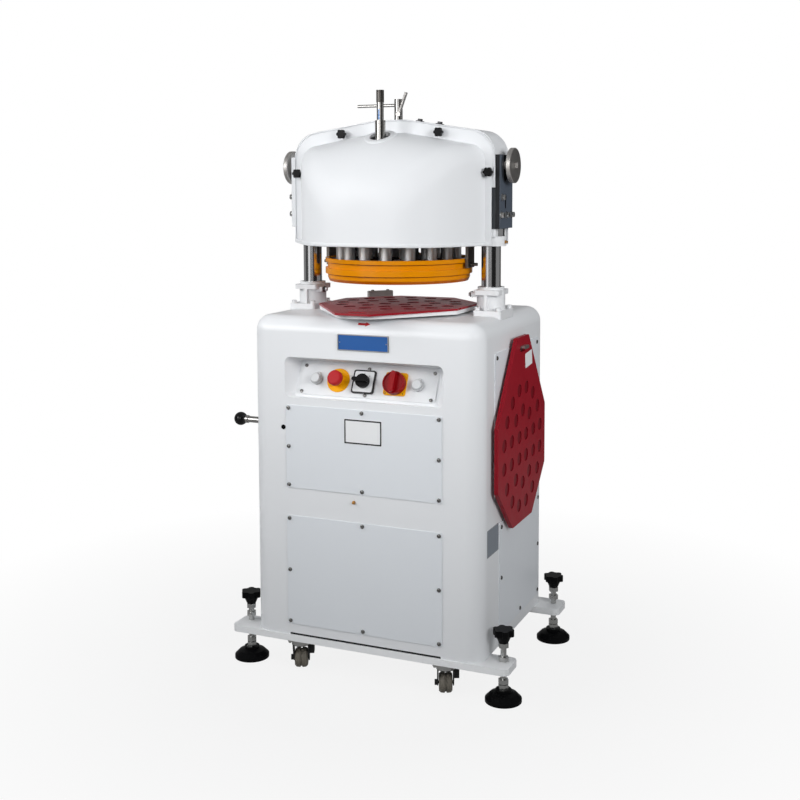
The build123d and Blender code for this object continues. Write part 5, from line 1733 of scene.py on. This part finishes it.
@dataclass
class Table:
    """Rounding table, moulding plates, their stop and the hanger."""

    # The last colour of each look is the painted shade in that plate's pockets.
    plates: tuple[PlateLook, ...] = (
        PlateLook("moulding_plate", Axis.Z, roughness=0.3, specular=0.42, pocket_shade=(0.085, 0.0012, 0.004)),
        PlateLook("spare_plate_inner", Axis.X, roughness=0.42, specular=0.2, pocket_shade=(0.17, 0.003, 0.009)),
        PlateLook("spare_plate_outer", Axis.X, roughness=0.42, specular=0.2, pocket_shade=(0.17, 0.003, 0.009)),
    )
    edge_band: float = 9 * MM
    tag_size: tuple[float, float] = (56 * MM, 37 * MM)
    tag_profile: PlateProfile = ((0, 1.5, 0.02), (0, 1.5, 0.25), (1, 1, 0.3))
    tag_y: float = 64 * MM
    tag_z: float = 784 * MM
    tag_lean: float = 6.0
    screw: DomedScrew = DomedScrew(radius=4.5 * MM)
    screw_spacing: float = 44 * MM

    def resin(self, look: PlateLook) -> Pocketed:
        """Gives the red resin of a moulding plate, with painted shade in its pockets.

        Args:
            look: The plate and how it looks.

        Returns:
            The finish.
        """
        low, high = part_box(look.node)
        lies_flat = look.axis is Axis.Z
        across = Axis.X if lies_flat else Axis.Y
        half = (high[across.value] - low[across.value]) / 2
        face = high[look.axis.value]
        centre = (low + high) / 2
        centre[look.axis.value] = face
        if lies_flat:
            centre.y = high.y - half
        else:
            centre.z = low.z + half
        return Pocketed(
            look.node + "_resin",
            RESIN_RED,
            roughness=look.roughness,
            flow=0.15,
            specular=look.specular,
            worn=RUBBED_RESIN,
            wear=0.4,
            dust=0.0,
            axis=look.axis,
            face=face,
            centre=tuple(centre),
            reach=half - self.edge_band,
            pocket_shade=look.pocket_shade,
        )

    def tag(self) -> None:
        """Makes the blank white tag on the outer spare plate."""
        place = on_side(Side.RIGHT, span("spare_plate_outer", Axis.X)[1], self.tag_y, self.tag_z)
        shaper = Shaper(place @ Matrix.Rotation(radians(self.tag_lean), 4, "Z"))
        shaper.stack(plate_rings(*self.tag_size, self.tag_profile))
        shaper.piece("plate_tag", LABEL_WHITE, Body.OUTER_PLATE, "white_plastic")

    def stop_screws(self) -> None:
        """Makes the two screws in the top of the plate stop."""
        x, y = middle("plate_stop", Axis.X), middle("plate_stop", Axis.Y)
        top = span("plate_stop", Axis.Z)[1]
        along = Vector((1, 1, 0)).normalized() * self.screw_spacing
        shaper = Shaper()
        for share in (-0.5, 0.5):
            place = on_side(Side.TOP, x + along.x * share, y + along.y * share, top)
            self.screw.add(shaper, place)
        shaper.piece("stop_screws", SCREW_STEEL, Body.CABINET, "bright_steel")

    def build(self) -> None:
        """Paints the table's pieces and adds the tag and the screws."""
        paint_nodes(TABLE_PAINT, "table_plate")
        for look in self.plates:
            paint_nodes(self.resin(look), look.node)
        paint_nodes(BLOCK_STEEL, "plate_stop")
        paint_nodes(TURNED_STEEL, "plate_hanger")
        self.tag()
        self.stop_screws()


@dataclass
class Head:
    """Hoods, side plates, beam, rods and the bolts on them."""

    sleeve_start: float = 1318 * MM
    side_bolt: HexBolt = HexBolt(flats=13 * MM, height=7 * MM, washer_radius=9 * MM)
    right_spots: tuple[tuple[float, float], ...] = (
        (37 * MM, 1146 * MM),
        (-2 * MM, 1146 * MM),
        (-40 * MM, 1146 * MM),
        (-31 * MM, 1189 * MM),
    )
    left_levels: tuple[float, ...] = (1190 * MM, 1146 * MM)
    left_inset: float = 9 * MM
    roof_bolt: HexBolt = HexBolt(flats=12 * MM, height=5 * MM, washer_radius=11 * MM)
    roof_spots: tuple[tuple[float, float], ...] = ((44 * MM, 30 * MM), (98 * MM, 30 * MM))
    peak_half: float = 40 * MM
    peak_round: float = 30 * MM
    shoulder_x: float = 273 * MM
    shoulder_drop: float = 36 * MM
    shoulder_round: float = 72 * MM
    flange_y: float = -52.5 * MM
    left_foot: float = 1 * MM
    right_foot: float = 143 * MM
    rim_section: Section = ((0.3, -0.3), (0.3, 1.4), (1.0, 2.1), (2.6, 2.1), (3.3, 1.4), (3.3, -0.3))
    lip_section: Section = ((-0.4, 0.4), (0.9, 0.6), (1.5, 2.4), (1.5, 6.8), (0.9, 8.4), (-0.4, 9.2))
    edge_margin: float = 0.1 * MM
    trim_sharp: float = 50.0
    grip_length: float = 30 * MM
    grip_pitch: float = 1.6 * MM
    # How far the painted shade on the side plate's edges reaches under its outer face.
    strip_span: tuple[float, float] = (1378 * MM, 1403 * MM)
    edge_shade_depth: float = 1 * MM
    nipple: Nipple = Nipple(tip=((2.4, 3.4), (2.6, 6), (1.6, 7.4)), foot=-1 * MM)
    nipple_height: float = 10 * MM

    def paint(self) -> None:
        """Gives the head's CAD nodes their finishes."""
        # The beam is dark inside the hood as painted shade, white below the column tops and steel on the
        # sleeve.
        beam = Banded(
            "beam_paint",
            BEAM_SHADE_DARK,
            roughness=0.5,
            bump=0.22,
            bands=(
                Band(BELOW, span("columns", Axis.Z)[1], CAST_WHITE, roughness=0.4),
                Band(self.sleeve_start, ABOVE, STEEL, roughness=0.24, metallic=1.0),
            ),
        )
        # The right side plate's edges, under its outer face, get a near-black colour as painted shade.
        plate_face = span("right_side_plate", Axis.X)[1]
        slate = Banded(
            "slate_plate",
            SLATE,
            roughness=0.4,
            axis=Axis.X,
            bands=(Band(BELOW, plate_face - self.edge_shade_depth, SLATE_EDGE_SHADE, roughness=0.55),),
        )
        rod_top = span("scale_rod", Axis.Z)[1]
        grip_start = rod_top - self.grip_length
        scale = Printed(
            "scale_rod_steel",
            STEEL,
            roughness=0.2,
            metallic=1.0,
            bands=(Band(grip_start, ABOVE, GRIP_STEEL, roughness=0.45, metallic=1.0),),
            thread_pitch=self.grip_pitch,
            thread_span=(grip_start, rod_top),
            strip_span=self.strip_span,
            strip_front=middle("scale_rod", Axis.Y),
        )
        paint_nodes(HOOD_PAINT, "front_hood", "rear_hood", "left_side_plate")
        paint_nodes(slate, "right_side_plate")
        paint_nodes(beam, "head_beam")
        paint_nodes(TURNED_STEEL, "cross_shaft")
        paint_nodes(BLACK_PLASTIC, "hood_knobs")
        paint_nodes(scale, "scale_rod")
        paint_nodes(ROD_STEEL, "weight_spindle")
        paint_nodes(TURNED_STEEL, "clamp_lever")

    def side_bolts(self) -> None:
        """Makes the bolts of both side plates."""
        right, left = Shaper(), Shaper()
        face = span("right_side_plate", Axis.X)[1]
        for y, z in self.right_spots:
            self.side_bolt.add(right, on_side(Side.RIGHT, face, y, z))
        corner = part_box("left_side_plate")[0]
        for z in self.left_levels:
            self.side_bolt.add(left, on_side(Side.LEFT, corner.x, corner.y + self.left_inset, z))
        right.piece("right_plate_bolts", ZINC_PLATE, Body.HEAD, "bright_steel")
        left.piece("left_plate_bolts", ZINC_PLATE, Body.HEAD, "bright_steel")

    def roof_fasteners(self) -> None:
        """Makes the dark bolts on the slope of the rear hood's roof."""
        top = span("rear_hood", Axis.Z)[1]
        slope = self.shoulder_drop / (self.shoulder_x - self.peak_half)
        shaper = Shaper()
        for x, y in self.roof_spots:
            spot = Vector((x, y, top - (x - self.peak_half) * slope))
            self.roof_bolt.add(shaper, facing(spot, (slope, 0, 1), (0, 1, 0)))
        shaper.piece("roof_bolts", DARK_STEEL, Body.HEAD, "dark_steel")

    def flange_rim(self, shaper: Shaper) -> None:
        """Adds the raised rim along the edge of the front hood's flange.

        Args:
            shaper: Takes the rim.
        """
        low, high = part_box("front_hood")
        half, shoulder = high.x, high.z - self.shoulder_drop
        outline = (
            (-half, low.z + self.left_foot, 0.0),
            (-half, shoulder, self.shoulder_round),
            (-self.peak_half, high.z, self.peak_round),
            (self.peak_half, high.z, self.peak_round),
            (half, shoulder, self.shoulder_round),
            (half, low.z + self.right_foot, 0.0),
        )
        path = rounded([(Vector((x, self.flange_y, z)), radius) for x, z, radius in outline])
        rings = []
        for spot, ahead in zip(path, headings(path)):
            inward = Vector((ahead.z, 0.0, -ahead.x))
            rings.append([spot + inward * a * MM + Vector((0.0, -h * MM, 0.0)) for a, h in self.rim_section])
        shaper.stack(rings)

    def lower_lip(self, shaper: Shaper) -> None:
        """Adds the rolled lip round the lower edge of the front hood.

        Args:
            shaper: Takes the lip.
        """
        node = frame["nodes"]["front_hood"]
        spots = [node.matrix_world @ vertex.co for vertex in node.data.vertices]
        bottom = min(spot.z for spot in spots)
        top, back = bottom + self.edge_margin, self.flange_y + self.edge_margin
        edge = [spot for spot in spots if spot.z < top and spot.y < back]
        path: list[Vector] = []
        for spot in sorted(edge, key=lambda point: (point.x, point.y)):
            flat = Vector((spot.x, spot.y, bottom))
            while len(path) > 1 and (path[-1] - path[-2]).cross(flat - path[-2]).z <= 0:
                path.pop()
            path.append(flat)
        rings = []
        for spot, ahead in zip(path, headings(path)):
            outward = Vector((ahead.y, -ahead.x, 0.0))
            rings.append([spot + outward * o * MM + Vector((0.0, 0.0, z * MM)) for o, z in self.lip_section])
        shaper.stack(rings)

    def hood_trim(self) -> None:
        """Makes the rim and the lip of the front hood."""
        shaper = Shaper()
        self.flange_rim(shaper)
        self.lower_lip(shaper)
        shaper.piece("hood_trim", HOOD_PAINT, Body.HEAD, "white_paint", self.trim_sharp)

    def beam_nipple(self) -> None:
        """Makes the brass nipple at the right end of the beam's boss."""
        low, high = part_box("head_beam")
        place = on_side(Side.RIGHT, high.x, middle("columns", Axis.Y), low.z + self.nipple_height)
        shaper = Shaper()
        self.nipple.add(shaper, place)
        shaper.piece("beam_nipple", BRASS, Body.HEAD, "bright_steel")

    def build(self) -> None:
        """Paints the head and adds its small pieces."""
        self.paint()
        self.side_bolts()
        self.roof_fasteners()
        self.hood_trim()
        self.beam_nipple()


@dataclass
class CuttingGear:
    """Dough ring, its brackets, the stamps and the knife."""

    flange_height: float = 10 * MM
    band_drop: float = 39 * MM
    toe_height: float = 7 * MM
    shade_height: float = 2.6 * MM
    shade: Colour = (0.36, 0.1, 0.0)
    # Painted shade on the ring's downward toe.
    toe_shade: Colour = (0.44, 0.1, 0.0)

    def ring_plastic(self) -> Banded:
        """Gives the ring's yellow plastic, with painted shade right under its flange and band, and at its
        toe.

        Returns:
            The finish.
        """
        low, high = span("dough_ring", Axis.Z)
        # Painted shade right under the flange and under the band.
        corners = [
            Band(top - self.shade_height, top, self.shade, roughness=0.4)
            for top in (high - self.flange_height, high - self.band_drop)
        ]
        return Banded(
            "ring_plastic",
            RING_YELLOW,
            roughness=0.2,
            specular=0.22,
            wear=0.05,
            flow=0.12,
            bands=(*corners, Band(BELOW, low + self.toe_height, self.toe_shade, roughness=0.3)),
        )

    def build(self) -> None:
        """Gives the CAD nodes their finishes."""
        paint_nodes(self.ring_plastic(), "dough_ring")
        paint_nodes(BRACKET_STEEL, "ring_brackets")
        paint_nodes(STAMP_METAL, "stamps", "presser_plate")
        paint_nodes(DARK_STEEL, "knife_cage")


class InnerDrive:
    """Drive and lift inside the cabinet."""

    def build(self) -> None:
        """Gives the CAD nodes their finishes."""
        paint_nodes(INNER_IRON, "drive_frame", "motor", "lift_yoke", "lift_cylinder", "table_hub")
        paint_nodes(ROD_STEEL, "eccentric_shaft", "guide_crank", "motor_pulley")
        paint_nodes(BELT_RUBBER, "drive_belt")


def stage_sheet(
    name: str, corners: Sequence[Sequence[float]], material: bpy.types.Material
) -> bpy.types.Object:
    """Adds a flat sheet that belongs to the stage.

    Args:
        name: Its name.
        corners: Its four corners.
        material: What it is made of.

    Returns:
        The sheet.
    """
    data = bpy.data.meshes.new(name)
    data.from_pydata(corners, [], [(0, 1, 2, 3)])
    data.materials.append(material)
    sheet = bpy.data.objects.new(name, data)
    bpy.context.scene.collection.objects.link(sheet)
    return sheet


@dataclass(frozen=True)
class Lamp:
    """Soft square lamp whose light narrows to a beam of so many degrees."""

    name: str
    place: tuple[float, float, float]
    aim: tuple[float, float, float]
    size: float
    power: float
    beam: float
    mirrored: bool = True

    def hang(self) -> None:
        """Hangs the lamp and turns it to its aim."""
        data = bpy.data.lights.new(self.name, "AREA")
        data.size = self.size
        data.energy = self.power
        data.spread = radians(self.beam)
        lamp = bpy.data.objects.new(self.name, data)
        lamp.location = self.place
        lamp.rotation_euler = (Vector(self.aim) - Vector(self.place)).to_track_quat("-Z", "Y").to_euler()
        lamp.visible_glossy = self.mirrored
        bpy.context.scene.collection.objects.link(lamp)


@dataclass(frozen=True)
class Card:
    """Upright card beside the object, white or dark, which only mirror-like surfaces show."""

    turn: float
    reach: float
    width: float
    brightness: float
    height: float = 2.4

    def stand(self) -> None:
        """Stands the card at its place, facing the object."""
        name = f"stage_card_{self.turn:.0f}"
        made = bpy.data.materials.new(name)
        made.use_nodes = True
        tree = ShaderTree(made.node_tree)
        shine = tree.add("ShaderNodeEmission")
        shine.inputs["Strength"].default_value = self.brightness
        tree.feed(shine.outputs[0], made.node_tree.nodes["Material Output"].inputs["Surface"])
        out = Vector((cos(radians(self.turn)), sin(radians(self.turn)), 0.0))
        side = Vector((-out.y, out.x, 0.0)) * self.width / 2
        top = Vector((0.0, 0.0, self.height))
        foot = out * self.reach
        corners = [foot - side, foot + side, foot + side + top, foot - side + top]
        card = stage_sheet(name, corners, made)
        card.visible_camera = False
        card.visible_diffuse = False
        card.visible_shadow = False
        card.visible_transmission = False


@dataclass
class Stage:
    """Floor, lamps and camera."""

    lamps: tuple[Lamp, ...] = (
        Lamp("key_lamp", (-1.6, -2.6, 1.9), (0, -0.2, 1.05), size=1.3, power=4.1, beam=55.0),
        Lamp("fill_lamp", (2.6, -1.5, 1.8), (0.2, 0, 1.1), size=1.3, power=7.5, beam=60.0, mirrored=False),
        Lamp("front_lamp", (0.6, -3.2, 1.8), (0, 0, 1.05), size=1.5, power=1.4, beam=50.0),
        Lamp("left_lamp", (-2.2, -1.0, 2.0), (0, 0, 1.1), size=1.2, power=6.7, beam=80.0, mirrored=False),
        Lamp("back_lamp", (0.3, 2.8, 2.0), (0, 0, 0.9), size=1.5, power=4.0, beam=90.0, mirrored=False),
    )
    cards: tuple[Card, ...] = (
        Card(turn=-111.7, reach=3.4, width=1.4, brightness=1.0),
        Card(turn=-36.7, reach=3.7, width=3.4, brightness=0.02),
        Card(turn=66.3, reach=2.6, width=1.8, brightness=0.03),
        Card(turn=-146.7, reach=2.6, width=1.6, brightness=0.08),
    )
    sky_colour: Colour = (0.93, 0.965, 1.0)
    sky_strength: float = 0.24
    mirror_strength: float = 0.3
    floor_colour: Colour = (0.45, 0.45, 0.45)
    floor_roughness: float = 0.6
    floor_specular: float = 0.2
    floor_size: float = 24.0
    floor_near_white: float = 0.86
    floor_fade_start: float = 0.5
    floor_fade_end: float = 1.5
    camera_place: tuple[float, float, float] = (1.1985, -2.7420, 1.2155)
    camera_azimuth: float = 23.31
    camera_pitch: float = 4.94
    camera_roll: float = -0.187
    camera_lens: float = 52.795
    camera_sensor: float = 36.0
    shift_x: float = -0.00766
    shift_y: float = -0.13992

    def background_seen(self, tree: ShaderTree) -> tuple[Socket, Socket]:
        """Tells which rays meet the white background, and how bright it is to them.

        Args:
            tree: The tree of the floor or of the world.

        Returns:
            One for rays that meet the background, and its strength: full for the camera, less for mirrors.
        """
        path = tree.add("ShaderNodeLightPath")
        direct = tree.maths("MAXIMUM", path.outputs["Is Camera Ray"], path.outputs["Is Transmission Ray"])
        mirrored = tree.maths("MULTIPLY", path.outputs["Is Glossy Ray"], self.mirror_strength)
        seen = tree.maths("MAXIMUM", direct, path.outputs["Is Glossy Ray"])
        return seen, tree.maths("MAXIMUM", direct, mirrored)

    def floor(self) -> None:
        """Lays a pale floor that keeps the shadow near the object and fades to white further out."""
        made = bpy.data.materials.new("stage_floor")
        made.use_nodes = True
        tree = ShaderTree(made.node_tree)
        shader = made.node_tree.nodes["Principled BSDF"]
        shader.inputs["Base Color"].default_value = (*self.floor_colour, 1.0)
        shader.inputs["Roughness"].default_value = self.floor_roughness
        shader.inputs["Specular IOR Level"].default_value = self.floor_specular
        white = tree.add("ShaderNodeEmission")
        reach = tree.add("ShaderNodeVectorMath", operation="LENGTH")
        tree.feed(tree.place(), reach.inputs[0])
        far = tree.ramp(
            reach.outputs["Value"], self.floor_fade_start, self.floor_fade_end, self.floor_near_white, 1.0
        )
        seen, strength = self.background_seen(tree)
        tree.feed(strength, white.inputs["Strength"])
        mixed = tree.add("ShaderNodeMixShader")
        tree.feed(tree.maths("MULTIPLY", far, seen), mixed.inputs[0])
        tree.feed(shader.outputs[0], mixed.inputs[1])
        tree.feed(white.outputs[0], mixed.inputs[2])
        tree.feed(mixed.outputs[0], made.node_tree.nodes["Material Output"].inputs["Surface"])
        half = self.floor_size / 2
        corners = [(-half, -half, 0), (half, -half, 0), (half, half, 0), (-half, half, 0)]
        stage_sheet("stage_floor", corners, made)

    def world(self) -> None:
        """Sets a soft even light with a white ground for what the camera and metals see."""
        world = bpy.data.worlds.new("studio")
        bpy.context.scene.world = world
        world.use_nodes = True
        tree = ShaderTree(world.node_tree)
        world.node_tree.nodes.clear()
        soft = tree.add("ShaderNodeBackground")
        soft.inputs["Color"].default_value = (*self.sky_colour, 1.0)
        soft.inputs["Strength"].default_value = self.sky_strength
        white = tree.add("ShaderNodeBackground")
        white.inputs["Color"].default_value = (1.0, 1.0, 1.0, 1.0)
        seen, strength = self.background_seen(tree)
        tree.feed(strength, white.inputs["Strength"])
        mixed = tree.add("ShaderNodeMixShader")
        tree.feed(seen, mixed.inputs[0])
        tree.feed(soft.outputs[0], mixed.inputs[1])
        tree.feed(white.outputs[0], mixed.inputs[2])
        leave = tree.add("ShaderNodeOutputWorld")
        tree.feed(mixed.outputs[0], leave.inputs["Surface"])

    def camera(self) -> None:
        """Stands the camera in front of the object, to its right and a little above its middle."""
        data = bpy.data.cameras.new("camera")
        data.sensor_width = self.camera_sensor
        data.lens = self.camera_lens
        data.shift_x = self.shift_x
        data.shift_y = self.shift_y
        camera = bpy.data.objects.new("camera", data)
        turn = Matrix.Rotation(radians(self.camera_azimuth), 4, "Z")
        tip = Matrix.Rotation(radians(90 - self.camera_pitch), 4, "X")
        roll = Matrix.Rotation(radians(self.camera_roll), 4, "Z")
        camera.matrix_world = Matrix.Translation(self.camera_place) @ turn @ tip @ roll
        bpy.context.scene.collection.objects.link(camera)
        bpy.context.scene.camera = camera

    def build(self) -> None:
        """Sets the whole stage."""
        bpy.context.scene.view_settings.view_transform = "Standard"
        self.floor()
        for card in self.cards:
            card.stand()
        self.world()
        for lamp in self.lamps:
            lamp.hang()
        self.camera()
        LOG.info("stage is set")


def main() -> None:
    """Builds the stage and dresses each sub-assembly in order."""
    logging.basicConfig(level=logging.INFO)
    Stage().build()
    for assembly in (
        Undercarriage(),
        Cabinet(),
        Controls(),
        Guides(),
        Table(),
        CuttingGear(),
        Head(),
        InnerDrive(),
    ):
        assembly.build()
        LOG.info("dressed %s", type(assembly).__name__)
    bpy.context.view_layer.update()


if __name__ == "__main__":
    main()
